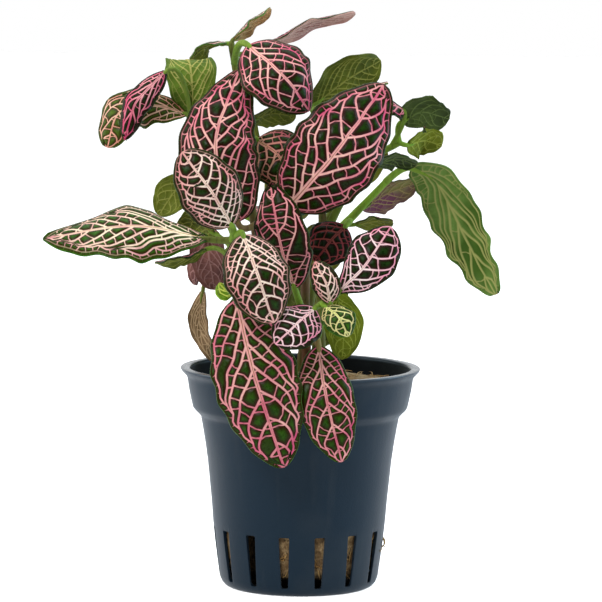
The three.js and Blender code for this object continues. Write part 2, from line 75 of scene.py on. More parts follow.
leafyStems = {
    "leafy_stem_front_left": {"stem": "brown", "shoots": [
        shootOf(1.2, [(-7.5, -8, 34), (-8, -10, 48), (-12, -20, 61), (-14.5, -27, 71),
            (-15.5, -31, 83)], [
            leafOf(1, [(-21, -29, 83), (-37.5, -33, 86), (-57.5, -33, 83)], [(0, -0.6, 0.8)], 17,
                "straw olive brown", fold=0.25, ripple=0.7, fullness=0.85, wave=0.35, lobe=0.035,
                cells=1.25),
            leafOf(1, [(-15.5, -34, 86.5), (-20, -39, 94.5), (-26.5, -37, 103)], [(0.1, -1, 0.15)], 14,
                "young olive green", fullness=0.47, reach=0.38),
            leafOf(1, [(-13, -35, 84.5), (-9.5, -41, 76), (-6, -39.5, 65.5)], [(0.1, -1, 0.25)], 14.5,
                "young olive green", fold=0.25, fullness=0.46, reach=0.38),
            leafOf(0.74, [(-14.5, -29, 69.5), (-10, -34, 52.5), (-3.5, -34.5, 32.5)],
                [(-0.05, -1, 0.2)], 19, "spring olive blush", ripple=0.4, sideVeins=7, hem=False),
            leafOf(0.72, [(-15.5, -27.5, 70.5), (-17, -28.5, 71.5), (-18.5, -28, 73)],
                [(0.2, -0.8, 0.6)], 4, "bud bud bright", fold=0.4, ripple=0),
            leafOf(0.96, [(-19.5, -20, 83.5), (-24, -17, 86), (-28, -16, 85)], [(0, 0.7, 0.7)], 9),
            leafOf(0.9, [(-21.5, -21, 80), (-27, -22, 78), (-33, -22, 77)], [(0, 0.3, 1)], 9),
        ]),
    ]},
    "leafy_stem_front_right": {"stem": "brown", "shoots": [
        shootOf(1.1, [(3, -7, 34), (3, -9, 48), (3.5, -20, 58), (4.5, -28, 68.5)], [
            leafOf(1, [(8.5, -30, 71.5), (14.5, -32, 78), (20, -28, 86)], [(-0.1, -1, 0.25)], 11.5,
                "blush olive green", widest=0.58, sideVeins=6, reach=0.3, crowding=0.95, rungs=1.4,
                hem=False, wave=1.6),
            leafOf(1, [(6.5, -33, 69.5), (5.5, -35, 74), (3, -33, 78.5)], [(0, -1, 0.2)], 6.2,
                "young olive green", fold=0.25, ripple=0.1, fullness=0.45, reach=0.4),
            leafOf(1, [(5.5, -34, 68.5), (8.5, -38, 66.5), (10.5, -39, 62.5)], [(-0.1, -0.7, 0.75)],
                7.5, "lime bud bright", ripple=0.2),
            leafOf(1, [(3, -33, 68), (-1, -38, 65), (-5.5, -38.5, 60.5)], [(-0.1, -1, 0.3)], 11,
                "blush olive green", reach=0.38, rungs=1.3),
            leafOf(0.72, [(4, -28, 59), (6, -31.5, 47), (9.5, -32, 33.5)], [(0.1, -1, 0.2)], 12.8,
                "spring olive blush", ripple=0.4, sideVeins=6, rungs=1.3, hem=False),
            leafOf(0.62, [(8, -9, 69.5), (10, -6, 61.5), (9.5, -6, 53.5)], [(0.15, 1, 0.1)], 9,
                "pink bright green", ripple=0.2),
        ]),
    ]},
    "leafy_stem_centre": {"stem": "brown", "shoots": [
        shootOf(1.2, [(1.5, 3, 34), (1.5, 2, 48), (1, -7, 66), (0.5, -9, 78), (-3, -10, 89),
            (-9.5, -6, 102)], [
            leafOf(0.82, [(-14.5, -18, 86), (-19.5, -20, 103), (-14.5, -10, 120)], [(-0.15, -1, 0.25)],
                18, "pink olive blush", ripple=0.5, widest=0.4, cells=1.2, veins=0.9),
            leafOf(0.82, [(-3, -16, 89.5), (7, -21, 101.5), (18.5, -12, 117)], [(0.1, -1, 0.2)], 20.5,
                "pink olive blush", fold=0.15, ripple=0.6, widest=0.43, cells=1.15, veins=0.9),
            leafOf(0.42, [(-1.5, -16, 71), (-5, -23, 83), (-7, -21, 95)], [(-0.3, -1, 0.1)], 12.5,
                fold=0.3, sideVeins=4, reach=0.6, hem=False),
            leafOf(1, [(-10.5, -8, 104), (-5.5, -11, 100.5), (-1.5, -11, 94)], [(0.1, -1, 0.3)], 14.5,
                "tan olive green"),
        ]),
    ]},
    "leafy_stem_tall": {"stem": "brown", "shoots": [
        shootOf(1.1, [(-5, 6, 34), (-5, 6, 48), (-9, 6, 71), (-12.5, 3, 94), (-15, 1, 116),
            (-16.5, 0, 125.5)], [
            leafOf(1, [(-16, 0, 126.5), (-12.5, 2, 130), (-7.5, 3, 133.5)], [(-0.7, 0.25, 0.7)], 8,
                "straw tan brown", fold=0.25),
            leafOf(1, [(-18, 0, 125.5), (-21.5, -2, 125.5), (-26, -2, 122)], [(0.1, 0.25, 1)], 8,
                "straw olive green"),
            leafOf(0.95, [(-12.5, -10, 125.5), (-4.5, -17, 119), (1.5, -14, 111)], [(0.1, -1, 0.4)], 16,
                fold=0.25, widest=0.43, cells=1.25, veins=0.88),
            leafOf(0.8, [(-11.5, 4, 108), (-7, 6, 109.5), (-1.5, 6, 108.5)], [(0, 0.6, 0.8)], 9),
            leafOf(0.97, [(-9.5, 4, 124.5), (1.5, 8, 130), (12, 8, 132.5)], [(-0.3, 0.35, 0.9)], 8,
                "pink rosy green", ripple=0.4),
        ]),
    ]},
    "leafy_stem_left": {"stem": "green", "shoots": [
        shootOf(1.1, [(-9, 10, 34), (-9, 10, 48), (-12, 10, 69), (-17, 9, 84), (-22.5, 8, 95),
            (-26, 7, 107.5)], [
            leafOf(1, [(-25.5, 7, 108.5), (-25.5, 5, 114), (-26, 6, 119.5), (-27, 11, 121),
                (-28, 16, 118)], [(0, 1, 0.1), (0, 0.8, -0.5), (0, -0.3, -1)], 11.5,
                "pink ribbed bright", fold=0.08),
            leafOf(1, [(-27, 5, 109), (-34, 2, 111), (-40, 0, 110.5), (-43, -2, 108),
                (-44.5, -3, 101.5)], [(0, -0.85, 0.5), (-0.5, -0.8, 0.2)], 10, "ember olive green",
                ripple=0.5, widest=0.57, wave=2, lobe=0.06, cells=1.6, fullness=0.45),
            leafOf(0.98, [(-31.5, -3, 119), (-35.5, -5, 115), (-38.5, -6, 111), (-40.5, -6, 103.5)],
                [(0, -1, 0.3)], 6, "rose olive green", fold=0.6, wave=2, lobe=0.06, cells=1.5),
            leafOf(0.8, [(-25.5, 2, 94), (-29.5, 3, 91), (-33, 3, 85.5)], [(0.3, 1, 0.2)], 8,
                "pink olive brown", ripple=0.4, wave=2.5),
            leafOf(0.6, [(-23, 12, 67), (-23.5, 13, 59), (-21.5, 11, 54.5), (-20, 9, 51)],
                [(0.6, 0.8, 0.1)], 5.5, "pink brown brown", fold=0.3, veins=1.4),
            leafOf(0.74, [(-21, -12, 84), (-21, -14, 78), (-19.5, -12, 70)], [(0.2, 1, 0)], 8,
                "pink mauve blush", fold=0.3, fullness=0.48),
            leafOf(0.7, [(-22, -6, 80.5), (-23.5, -8, 76), (-24.5, -6, 70.5)], [(0.8, 0.6, 0)], 6,
                "pink mauve blush", fold=0.3, ripple=0.2, fullness=0.48),
        ]),
    ]},
    "leafy_stem_right": {"stem": "bright", "shoots": [
        shootOf(1.2, [(5, 8, 34), (5, 8, 48), (4.5, 8, 66), (6, 7, 78.5), (10.5, 7, 84),
            (19.5, 8, 93.5)], [
            leafOf(1, [(25.5, 10, 96.5), (30, 12, 94.5), (33.5, 13, 90), (40, 13, 77), (45.5, 11, 67)],
                [(0, 0.8, 0.6), (0.35, 1, 0.2)], 12, "pink pale bright", fold=0.15, ripple=0.5,
                widest=0.42, reach=0.62, sideVeins=7, crowding=1.35, wave=3, fullness=0.45, lobe=0.06,
                rungs=3, veins=1.9),
            leafOf(0.85, [(14, 12.5, 87), (20, 14.5, 90.5), (27, 15, 93)], [(0, 0.6, 0.8)], 11,
                "pink dusky green"),
            leafOf(0.8, [(12.5, 2, 84), (17, 2, 85), (21, 0, 85)], [(0, 0.5, 0.9)], 7, ripple=0.2),
            # this leaf's upper side uses the look with painted shade
            leafOf(0.78, [(10, -4, 84), (6.5, -6, 80.5), (3, -6, 76)], [(-0.1, -1, 0.2)], 11,
                "dusk olive green", ripple=0.2),
        ]),
    ]},
    "leafy_stem_back_right": {"stem": "green", "shoots": [
        shootOf(1.2, [(0, 14, 34), (0, 14, 48), (3, 14, 70), (5.5, 13, 80), (10, 11, 90),
            (16, 10, 98.5), (22.5, 9, 102.5)], [
            leafOf(1, [(23, 7, 107.5), (27.5, 5, 110), (34, 6, 108.5)], [(0, 0.8, 0.6)], 10,
                "pink deep bright", ripple=0.4, wave=2, lobe=0.08, fullness=0.45),
            leafOf(1, [(24.5, 9.5, 102), (28.5, 13, 103), (32.5, 15, 101.5)], [(0, 0.8, 0.5)], 9,
                "pink bright bright", wave=2, lobe=0.08),
            leafOf(0.85, [(16.5, 1, 98), (21.5, 1, 99.5), (26.5, 2, 98)], [(0, 0.4, 0.9)], 9,
                "pink deep green"),
            leafOf(0.97, [(23, 3, 110.5), (21, 0, 111.5), (18.5, -2, 111.5)], [(0, -0.8, 0.6)], 6,
                "rose olive green", ripple=0.2),
        ]),
        shootOf(1, [(5, 13, 78), (4.5, 11, 92), (3.5, 9, 103), (2.5, 7, 110)], [
            leafOf(1, [(2.5, 9, 111), (10, 10, 117), (18, 13, 121.5)], [(-0.2, 1, 0.4)], 11.5,
                ripple=0.6),
            leafOf(1, [(4.5, 2, 111.5), (11.5, -2, 115), (19.5, -3, 117)], [(-0.2, -0.25, 1)], 9,
                "straw olive green", ripple=0.4),
        ]),
    ]},
    "leafy_stem_back": {"stem": "brown", "shoots": [
        shootOf(1.2, [(-6, 16, 34), (-6, 16, 48), (-7, 20, 66), (-8, 21, 84), (-8, 20, 97)], [
            leafOf(0.55, [(-9.5, 24, 68), (-10, 33, 58), (-9.5, 36, 43)], [(0, 1, 0.3)], 17,
                ripple=0.4),
            leafOf(0.78, [(-13, 21, 84), (-19, 28, 87), (-23, 35, 82)], [(-0.2, 0.5, 0.85)], 15,
                ripple=0.4),
            leafOf(0.8, [(-6, 26, 84), (-5, 36, 86), (-4, 45, 81)], [(0, 0.3, 0.95)], 15, ripple=0.4),
            leafOf(1, [(-11, 22, 98), (-16, 25, 103), (-17.5, 26, 110)], [(-0.2, 1, 0.3)], 13,
                ripple=0.4),
            leafOf(1, [(-5, 23, 97), (-1, 30, 99), (1, 37, 97)], [(0.1, 0.7, 0.7)], 13, ripple=0.4),
        ]),
        shootOf(1, [(-6.5, 19, 60), (-1, 22, 70), (5, 24, 80), (8, 24, 88)], [
            leafOf(0.45, [(1, 26, 70), (4, 34, 63), (5, 39, 51)], [(0, 1, 0.4)], 15, ripple=0.4),
            leafOf(1, [(9.5, 25, 91), (13, 28, 99), (15, 28, 107)], [(0.2, 1, 0.2)], 15, ripple=0.4),
            leafOf(0.9, [(5.5, 28, 82), (5, 35, 77), (4.5, 39, 68)], [(0.1, 0.8, 0.6)], 11, ripple=0.4),
        ]),
    ]},
}

# The lengths here are in millimetres, and shares are of the leaf's length or width
bladeForm = {
    "thickness": 0.4,
    "rimRound": 0.12,  # how far the rounded rim stands out
    "fullSize": 20,  # width of a leaf that has everything in full size
    "leastSize": 0.5,
    "stalkHalf": 0.675,
    "leastHalf": 0.7,
    "rippleTurns": 2,
    "rippleShift": 1.9,
    "lobeLength": 6.5,
    "crimp": 0.45,
    "crimpTurns": (24, 34),
}

netForm = {
    "spacing": 2.7,  # between side veins, across them, on a leaf of full size
    "leastSpacing": 1.4,
    "sideShare": 0.48,  # the more of it, the more side veins a leaf has
    "sideCount": (3, 9),
    "sampleStep": 0.42,
    "stepLength": 0.95,
    "hemmedWidth": 12,  # a wider leaf has a second, fine line along its edge
    "firstStart": 0.012,  # shares of the leaf's length
    "lastStart": 0.86,
    "stagger": 0.014,
    "startPlay": 0.01,
    "endPlay": 0.012,
    "firstReach": 0.34,
    "arch": 1.18,
    "archDepth": 0.75,
    "archWidth": 0.42,
    "midribHalf": 0.66,
    "midribTaper": 0.36,
    "midribPale": (1.0, 0.25),  # at its start and its end
    "sideHalf": 0.32,
    "rungHalf": 0.15,
    "rungPale": (0.5, 0.5),
    "rungBend": 0.12,
    "rungShare": 1.02,
    "rungPaint": 0.6,
    "rungStart": (0.55, 0.8),  # these three are spans for the draws
    "rungStep": (0.86, 1.16),
    "rungThickness": (0.75, 1.2),
    "rimHalf": 0.18,
    "rimPale": (0.35, 0.35),
    "rimGap": 0.85,
    "hemmedRimGap": 1.55,
    "hemShare": 0.45,
    "hemHalf": 0.1,
    "hemPaint": 0.42,
    "outlineHalf": 0.05,
    "outlineRungs": 2.2,
    "ridge": (0.25, 0.12),  # rise for each millimetre of half width, and the most that it rises
    "underRidge": (1.0, 0.4),
    "underSpread": (1.5, 0.55),  # the ribs below are wider, up to a share of the cell
    "underFade": 1.6,
    "veinMost": 0.62,
    "veinEdge": 0.09,
    "cellStep": 0.09,
    "dome": 0.36,
    "domeShare": 0.4,
    "domeMost": 0.3,
    "marginRise": 0.25,  # cells along the edge stay flatter
    "warp": 0.3,
    "warpScale": 0.23,
}

stemForm = {
    "stepLength": 1.6,
    "taper": (0.98, 0.2),
    "node": 0.18,  # how much a shoot swells where a stalk leaves it
    "nodeLength": 1.5,
    "nodeMost": 1.15,
    "tipStart": 0.6,  # from here on a shoot thins down to a stalk
    "stalkRadius": 0.75,
    "stalkWidth": 12,  # width of the leaf that has a stalk of that radius
    "stalkShares": (0.7, 1.05),
    "stalkTaper": (1.15, 0.92),
    "stalkBend": 0.35,
    "tailReach": (0.02, 0.16),
    "tail": (0.85, 0.7, 0.5, 0.35, 0.2),  # the stalk's shares of its radius under the blade
    "tailDepth": (-0.12, -0.3, -0.42, -0.45, -0.42),
}


# Curves and the form of a blade, in millimetres

def limit(value, low, high):
    return min(max(value, low), high)


def distanceAlong(points, extra=0.0):
    steps = np.linalg.norm(np.diff(points, axis=0), axis=1) + extra
    return np.concatenate([[0], np.cumsum(steps)])


def smoothCurve(points, steps=30):
    points = np.array(points, float)
    padded = np.vstack([2 * points[0] - points[1], points, 2 * points[-1] - points[-2]])
    t = np.linspace(0, 1, steps, endpoint=False)[:, None]
    runs = []
    for before, start, end, after in zip(padded, padded[1:], padded[2:], padded[3:]):
        leave = (end - before) / 2
        arrive = (after - start) / 2
        square = 3 * (end - start) - 2 * leave - arrive
        cube = 2 * (start - end) + leave + arrive
        runs.append(start + leave * t + square * t**2 + cube * t**3)
    points = np.vstack([*runs, points[-1:]])
    travelled = distanceAlong(points)
    return {"points": points, "shares": travelled / travelled[-1], "length": travelled[-1]}


def between(share, stops, values):
    return np.stack([np.interp(share, stops, values[:, k]) for k in range(3)], axis=-1)


def pointAt(line, share):
    return between(share, line["shares"], line["points"])


def unit(vectors):
    return vectors / np.maximum(np.linalg.norm(vectors, axis=-1, keepdims=True), 1e-12)


def directionAt(line, share):
    share = np.asarray(share, float)
    ahead, behind = np.minimum(share + 0.01, 1), np.maximum(share - 0.01, 0)
    return unit(pointAt(line, ahead) - pointAt(line, behind))


def halfWidth(leaf, share):
    lean = math.log(0.5) / math.log(leaf["widest"])
    full = np.sin(np.pi * np.clip(np.asarray(share, float) ** lean, 0, 1))
    return leaf["width"] / 2 * full ** leaf["fullness"]


# The edge is a little lobed, each side in its own way
def lobedHalf(leaf, share, sign):
    turns = 2 * np.pi * leaf["line"]["length"] / bladeForm["lobeLength"]
    lobes = np.sin(turns * np.asarray(share, float) + leaf["crimpShift"] * (2 + sign))
    return halfWidth(leaf, share) * (1 + leaf["lobe"] * lobes)


# Lays flat places (x across, y along, height off the surface) onto the leaf's curved blade
def ontoBlade(leaf, x, y, height):
    line = leaf["line"]
    share = np.clip(y / line["length"], 0, 1)
    faces = np.array(leaf["faces"], float)
    forward = directionAt(line, share)
    side = unit(np.cross(forward, between(share, np.linspace(0, 1, len(faces)), faces)))
    up = np.cross(side, forward)
    half = np.maximum(halfWidth(leaf, share), bladeForm["leastHalf"])
    across = np.clip(x / half, -1.05, 1.05)
    turn = 2 * np.pi * bladeForm["rippleTurns"] * share + np.where(x > 0, bladeForm["rippleShift"], 0)
    lift = across**2 * (leaf["ripple"] * np.sin(turn) - leaf["fold"] * half)
    crimp = np.sin(leaf["crimpTurns"] * share + np.where(x > 0, leaf["crimpShift"], 0))
    lift += leaf["crimp"] * crimp * across**4 * np.sin(np.pi * share)
    return pointAt(line, share) + (side * x[:, None] + up * (lift + height)[:, None])


# The flat net of veins of one blade

def marginLine(leaf, shares, sign, gap):
    inner = np.maximum(lobedHalf(leaf, shares, sign) - gap, 0)
    inside = np.nonzero(inner > 0)[0]
    first = max(inside[0] - 1, 0)
    last = min(inside[-1] + 1, len(shares) - 1)
    inner[[first, last]] = 0
    return inner, first, last


# A vein has two values, for its start and its end, of half its width and of its paleness
def addVein(veins, points, half, pale, paint=1.0, keep=()):
    count = len(points)
    veins.append({
        "points": np.array(points, float),
        "half": np.linspace(*half, count),
        "pale": np.linspace(*pale, count),
        "paint": paint,
        "keep": {0, count - 1, *keep},
    })
    return veins[-1]


def cornersOf(vein, first=0, end=None):
    return [(vein, k) for k in range(first, len(vein["points"]) if end is None else end)]


# Cross veins between a lower line and the line above it, like the rungs of a ladder
def addRungs(veins, lower, upper, spacing, half, draw, paint=netForm["rungPaint"], least=0.45):
    lowerPoints = np.array([vein["points"][index] for vein, index in lower])
    upperPoints = np.array([vein["points"][index] for vein, index in upper])
    travelled = distanceAlong(lowerPoints)
    place = spacing * draw.uniform(*netForm["rungStart"])
    lastUpper = -1
    while place < travelled[-1] - spacing * 0.45:
        index = int(np.searchsorted(travelled, place))
        place += spacing * draw.uniform(*netForm["rungStep"])
        start = lowerPoints[index]
        other = int(np.argmin(np.linalg.norm(upperPoints - start, axis=1)))
        other = limit(other + draw.choice((-1, 0, 0, 1)), 0, len(upperPoints) - 1)
        end = upperPoints[other]
        if np.linalg.norm(end - start) < spacing * least or other <= lastUpper:
            continue
        lastUpper = other + 1
        most = netForm["rungBend"]
        bend = np.array([start[1] - end[1], end[0] - start[0]]) * draw.uniform(-most, most)
        thickness = half * draw.uniform(*netForm["rungThickness"])
        points = [start, (start + end) / 2 + bend, end]
        addVein(veins, points, (thickness, thickness), netForm["rungPale"], paint)
        for vein, corner in (lower[index], upper[other]):
            vein["keep"].add(corner)


def sideCount(length, spacing):
    return int(np.clip(round(length * netForm["sideShare"] / spacing) + 1, *netForm["sideCount"]))


def growVeins(leaf, draw):
    length, width, size, thickness = leaf["line"]["length"], leaf["width"], leaf["size"], leaf["veins"]
    spacing = max(netForm["spacing"] * size**1.45, netForm["leastSpacing"]) * leaf["cells"]
    count = leaf.get("sideVeins", sideCount(length, spacing))
    hemmed = leaf.get("hem", width > netForm["hemmedWidth"])
    rungHalf = max(netForm["rungHalf"] * size, 0.1) * thickness
    rimHalf = netForm["rimHalf"] * size * thickness
    rimGap = netForm["hemmedRimGap" if hemmed else "rimGap"] * (0.3 + 0.7 * size)
    shares = np.linspace(0, 1, max(int(length / netForm["sampleStep"]), 30) + 1)
    margins = {sign: marginLine(leaf, shares, sign, rimGap) for sign in (-1, 1)}
    veins = []
    midHalf = netForm["midribHalf"] * size * thickness**0.5
    midPoints = [(0, share * length) for share in shares[: max(m[2] for m in margins.values()) + 1]]
    corners = {k for m in margins.values() for k in m[1:]}
    midHalves = (midHalf, midHalf * netForm["midribTaper"])
    midrib = addVein(veins, midPoints, midHalves, netForm["midribPale"], keep=corners)
    midrib["groove"] = True
    edgeHalf = (netForm["outlineHalf"], netForm["outlineHalf"])
    for sign in (-1, 1):
        inner, first, last = margins[sign]
        stalkEdge = bladeForm["stalkHalf"] * np.clip(1 - shares * 9, 0, 1)
        edge = np.maximum(lobedHalf(leaf, shares, sign), stalkEdge)
        edge[-1] = 0
        edgePoints = np.stack([sign * edge, shares * length], axis=1)
        outline = addVein(veins, edgePoints, edgeHalf, (0, 0), 0.0)
        addVein(veins, [(0, 0), outline["points"][0]], edgeHalf, (0, 0), 0.0)
        starts, ends = [], []
        for index in range(count):
            rise = netForm["lastStart"] * (index / (count - 1)) ** leaf["crowding"]
            start = netForm["firstStart"] + rise
            start += draw.uniform(-netForm["startPlay"], netForm["startPlay"])
            start += netForm["stagger"] * sign * min(index, 1)  # the two sides' veins alternate
            reach = netForm["firstReach"] if index == 0 else leaf["reach"] * (1 - start) ** 0.8
            end = start + reach + draw.uniform(-netForm["endPlay"], netForm["endPlay"])
            starts.append(int(np.clip(round(start * (len(shares) - 1)), first + 1, last - 3)))
            ends.append(int(np.clip(round(end * (len(shares) - 1)), starts[-1] + 2, last - 1)))
        arches = inner.copy()  # the rim dips inwards where each side vein joins it
        for finish in ends:
            away = (shares - shares[finish]) * length / (netForm["archWidth"] * spacing)
            arches -= netForm["archDepth"] * size * np.exp(-(away**2)) * np.clip(inner / 2, 0, 1)
        arches[[first, last]] = 0
        rimPoints = [(sign * arches[k], shares[k] * length) for k in range(first, last + 1)]
        rim = addVein(veins, rimPoints, (rimHalf, rimHalf), netForm["rimPale"])
        sides = []
        for index, (begin, finish) in enumerate(zip(starts, ends)):
            t = np.linspace(0, 1, max(int((finish - begin) * 1.4), 8))
            along = shares[begin] + (shares[finish] - shares[begin]) * t
            out = np.interp(along, shares, inner) * (1 - (1 - t) ** netForm["arch"])
            out -= (inner[finish] - arches[finish]) * t**4
            points = np.stack([sign * out, along * length], axis=1)
            points[0] = (0, shares[begin] * length)
            points[-1] = (sign * arches[finish], shares[finish] * length)
            half = netForm["sideHalf"] * size**0.8 * (0.75 if index == 0 else 1) * thickness
            fade = index / max(count - 1, 1)
            ending = (half * (1 - 0.2 * fade), half * 0.6)
            sides.append(addVein(veins, points, ending, (0.9 - 0.3 * fade, 0.38)))
            midrib["keep"].add(begin)
            rim["keep"].add(finish - first)
        along = cornersOf(rim, 0, ends[0] - first + 1)
        addRungs(veins, cornersOf(sides[0]), along, spacing * 0.8, rungHalf, draw, least=0.3)
        for index, side in enumerate(sides):
            more = index + 1 < count
            above = cornersOf(midrib, starts[index] + 1, starts[index + 1] if more else last)
            if more:
                above += cornersOf(sides[index + 1])
            step = spacing * netForm["rungShare"] * leaf["rungs"]
            addRungs(veins, cornersOf(side), above, step, rungHalf, draw)
        inside = cornersOf(rim, 1, len(rimPoints) - 1)
        if hemmed:
            out, hemFirst, hemLast = marginLine(leaf, shares, sign, rimGap * netForm["hemShare"])
            hemPoints = [(sign * out[k], shares[k] * length) for k in range(hemFirst, hemLast + 1)]
            hemHalf = (netForm["hemHalf"], netForm["hemHalf"])
            hem = addVein(veins, hemPoints, hemHalf, (0.1, 0.1), netForm["hemPaint"])
            midrib["keep"].add(hemFirst)
            hemSide = cornersOf(hem, 1, len(hemPoints) - 1)
            addRungs(veins, inside, hemSide, spacing * 0.7, rungHalf * 0.8, draw, least=0.1)
            inside = hemSide
        outside = cornersOf(outline, 1, len(shares) - 1)
        addRungs(veins, inside, outside, netForm["outlineRungs"], 0.06, draw, paint=0.0, least=0.1)
    return veins


# Cuts the veins into short pieces and lets them divide the blade into cells
def netCells(veins, stepLength):
    places, coords, segments, marks = {}, [], [], []

    def place(point):
        key = (round(float(point[0]), 3), round(float(point[1]), 3))
        if key not in places:
            places[key] = len(coords)
            coords.append(Vector(key))
        return places[key]

    for vein in veins:
        kept = sorted(vein["keep"])
        picks = []
        for begin, finish in zip(kept, kept[1:]):
            run = vein["points"][begin : finish + 1]
            distance = np.linalg.norm(np.diff(run, axis=0), axis=1).sum()
            pieces = min(max(round(distance / stepLength), 1), finish - begin)
            picks += [round(begin + (finish - begin) * k / pieces) for k in range(pieces)]
        picks.append(kept[-1])
        for begin, finish in zip(picks, picks[1:]):
            a, b = place(vein["points"][begin]), place(vein["points"][finish])
            if a != b:
                segments.append((a, b))
                middle = (begin + finish) // 2
                groove = vein.get("groove", False)
                marks.append((vein["half"][middle], vein["pale"][middle], vein["paint"], groove))
    points, edges, triangles, _, origins, _ = delaunay_2d_cdt(coords, segments, [], 1, 1e-4)
    edgeMarks = {}
    for pair, origin in zip(edges, origins):
        found = [marks[k] for k in origin if k < len(marks)]
        if found:
            edgeMarks[frozenset(pair)] = max(found)
    flat = np.array([tuple(point) for point in points])
    return flat, joinedCells([list(face) for face in triangles], edgeMarks), edgeMarks


def around(face):
    return zip(face, face[1:] + face[:1])


# Joins the triangles that no vein parts, and follows each cell's outline
def joinedCells(triangles, edgeMarks):
    owners = {}
    for index, face in enumerate(triangles):
        for pair in around(face):
            owners.setdefault(frozenset(pair), []).append(index)
    cell = list(range(len(triangles)))

    def cellOf(index):
        while cell[index] != index:
            cell[index] = cell[cell[index]]
            index = cell[index]
        return index

    for pair, sides in owners.items():
        if len(sides) == 2 and pair not in edgeMarks:
            cell[cellOf(sides[0])] = cellOf(sides[1])

    def neighbour(index, *pair):
        others = [other for other in owners[frozenset(pair)] if other != index]
        return others[0] if others and cellOf(others[0]) == cellOf(index) else None

    def nextEdge(index, corner):  # the cell's next outer edge, turning round the corner inside it
        for _ in range(len(triangles)):
            face = triangles[index]
            follower = face[(face.index(corner) + 1) % 3]
            other = neighbour(index, corner, follower)
            if other is None:
                return index, corner, follower
            index = other

    outerEdges = {}
    for index, face in enumerate(triangles):
        for a, b in around(face):
            if neighbour(index, a, b) is None:
                outerEdges.setdefault(cellOf(index), []).append((index, a, b))
    cells = []
    for edges in outerEdges.values():
        first = edges[0]
        loop = [first[1]]
        here = nextEdge(first[0], first[2])
        while here != first and len(loop) < len(edges):
            loop.append(here[1])
            here = nextEdge(here[0], here[2])
        cells.append(loop)
    return cells


# Moves each edge of a polygon inwards. An edge that would turn round is left out, and the corners
# that it joined move to where the edges beside it meet.
def insetRing(polygon, offsets):
    count = len(polygon)
    places = [tuple(map(float, place)) for place in polygon]
    offsets = [float(offset) for offset in offsets]
    edges = []
    for (x, y), (nextX, nextY) in around(places):
        length = math.hypot(nextX - x, nextY - y)
        edges.append(((nextX - x) / length, (nextY - y) / length) if length > 1e-6 else None)
    active = [k for k in range(count) if edges[k]]

    def corner(before, after):
        a, b = edges[before], edges[after]
        near, far = offsets[before], offsets[after]
        x, y = places[after]
        cross = a[0] * b[1] - a[1] * b[0]
        if abs(cross) > 0.12:
            startX = places[before][0] - a[1] * near
            startY = places[before][1] + a[0] * near
            share = ((x - b[1] * far - startX) * b[1] - (y + b[0] * far - startY) * b[0]) / cross
            awayX, awayY = startX + a[0] * share - x, startY + a[1] * share - y
            most = 7 * max(near, far)
            shrink = min(most / max(math.hypot(awayX, awayY), 1e-9), 1)
            return x + awayX * shrink, y + awayY * shrink
        wrap = count if after <= before else 0
        joined = [places[k % count] for k in range(before + 1, after + 1 + wrap)]
        x, y = (sum(values) / len(joined) for values in zip(*joined))
        ease = 1 / max(1 + (a[0] * b[0] + a[1] * b[1]), 0.5)
        return x - (a[1] * near + b[1] * far) * ease, y + (a[0] * near + b[0] * far) * ease

    while True:
        if len(active) < 3:
            return np.full((count, 2), np.mean(polygon, axis=0))
        corners = [corner(active[m - 1], active[m]) for m in range(len(active))]
        worst, turned = -1e-6, None
        for m, k in enumerate(active):
            start, end = corners[m], corners[(m + 1) % len(active)]
            ahead = (end[0] - start[0]) * edges[k][0] + (end[1] - start[1]) * edges[k][1]
            if ahead < worst:
                worst, turned = ahead, m
        if turned is None:
            break
        active.pop(turned)
    ring = np.zeros((count, 2))
    for m, k in enumerate(active):
        other = k
        while True:  # every corner back to the edge before shares this place
            ring[other] = corners[m]
            if (other - 1) % count == active[m - 1]:
                break
            other = (other - 1) % count
    return ring


def area(polygon):
    x, y = polygon[:, 0], polygon[:, 1]
    return 0.5 * float(np.sum(x * np.roll(y, -1) - y * np.roll(x, -1)))


def inradius(polygon):
    reach = np.linalg.norm(np.roll(polygon, -1, axis=0) - polygon, axis=1).sum()
    return 2 * area(polygon) / max(reach, 1e-6)


# The ring inside a polygon's edges, with the offsets eased until it holds a true polygon
def safeRing(polygon, offsets, least=0.04):
    whole = area(polygon)
    for _ in range(6):
        ring = insetRing(polygon, offsets)
        distinct = {(round(float(x), 3), round(float(y), 3)) for x, y in ring}
        if len(distinct) >= 3 and area(ring) > least * whole:
            return ring
        offsets = offsets * 0.65
    return None


# Every leafy stem is gathered as one list of patches and made a mesh at the end

def newGathering():
    return {"places": [], "faces": [], "finish": [], "net": [], "patches": [], "count": 0}


def addPatch(gathering, places, faces, finish, net, flat):
    flat = np.array(flat, float)
    low = flat.min(axis=0)
    size = flat.max(axis=0) - low
    gathering["patches"].append({"size": size, "start": gathering["count"], "flat": flat - low})
    gathering["places"].append(np.array(places, float))
    gathering["net"].append(np.array(net, float))
    gathering["faces"] += [[gathering["count"] + k for k in face] for face in faces]
    gathering["finish"] += [finish] * len(faces)
    gathering["count"] += len(places)


# Lays the patches out in rows on one sheet, so that each has its own part of the UV map
def sheetPlaces(gathering):
    margin = 1.5
    patches = sorted(gathering["patches"], key=lambda patch: -patch["size"][1])
    total = sum((p["size"][0] + margin) * (p["size"][1] + margin) for p in patches)
    sheetWidth = max(math.sqrt(total) * 1.08, max(p["size"][0] for p in patches) + 2 * margin)
    uv = np.zeros((gathering["count"], 2))
    x, y, rowHeight = margin, margin, 0
    for patch in patches:
        if x + patch["size"][0] + margin > sheetWidth:
            x = margin
            y += rowHeight + margin
            rowHeight = 0
        start = patch["start"]
        uv[start : start + len(patch["flat"])] = patch["flat"] + (x, y)
        x += patch["size"][0] + margin
        rowHeight = max(rowHeight, patch["size"][1])
    return uv / max(sheetWidth, y + rowHeight + margin)


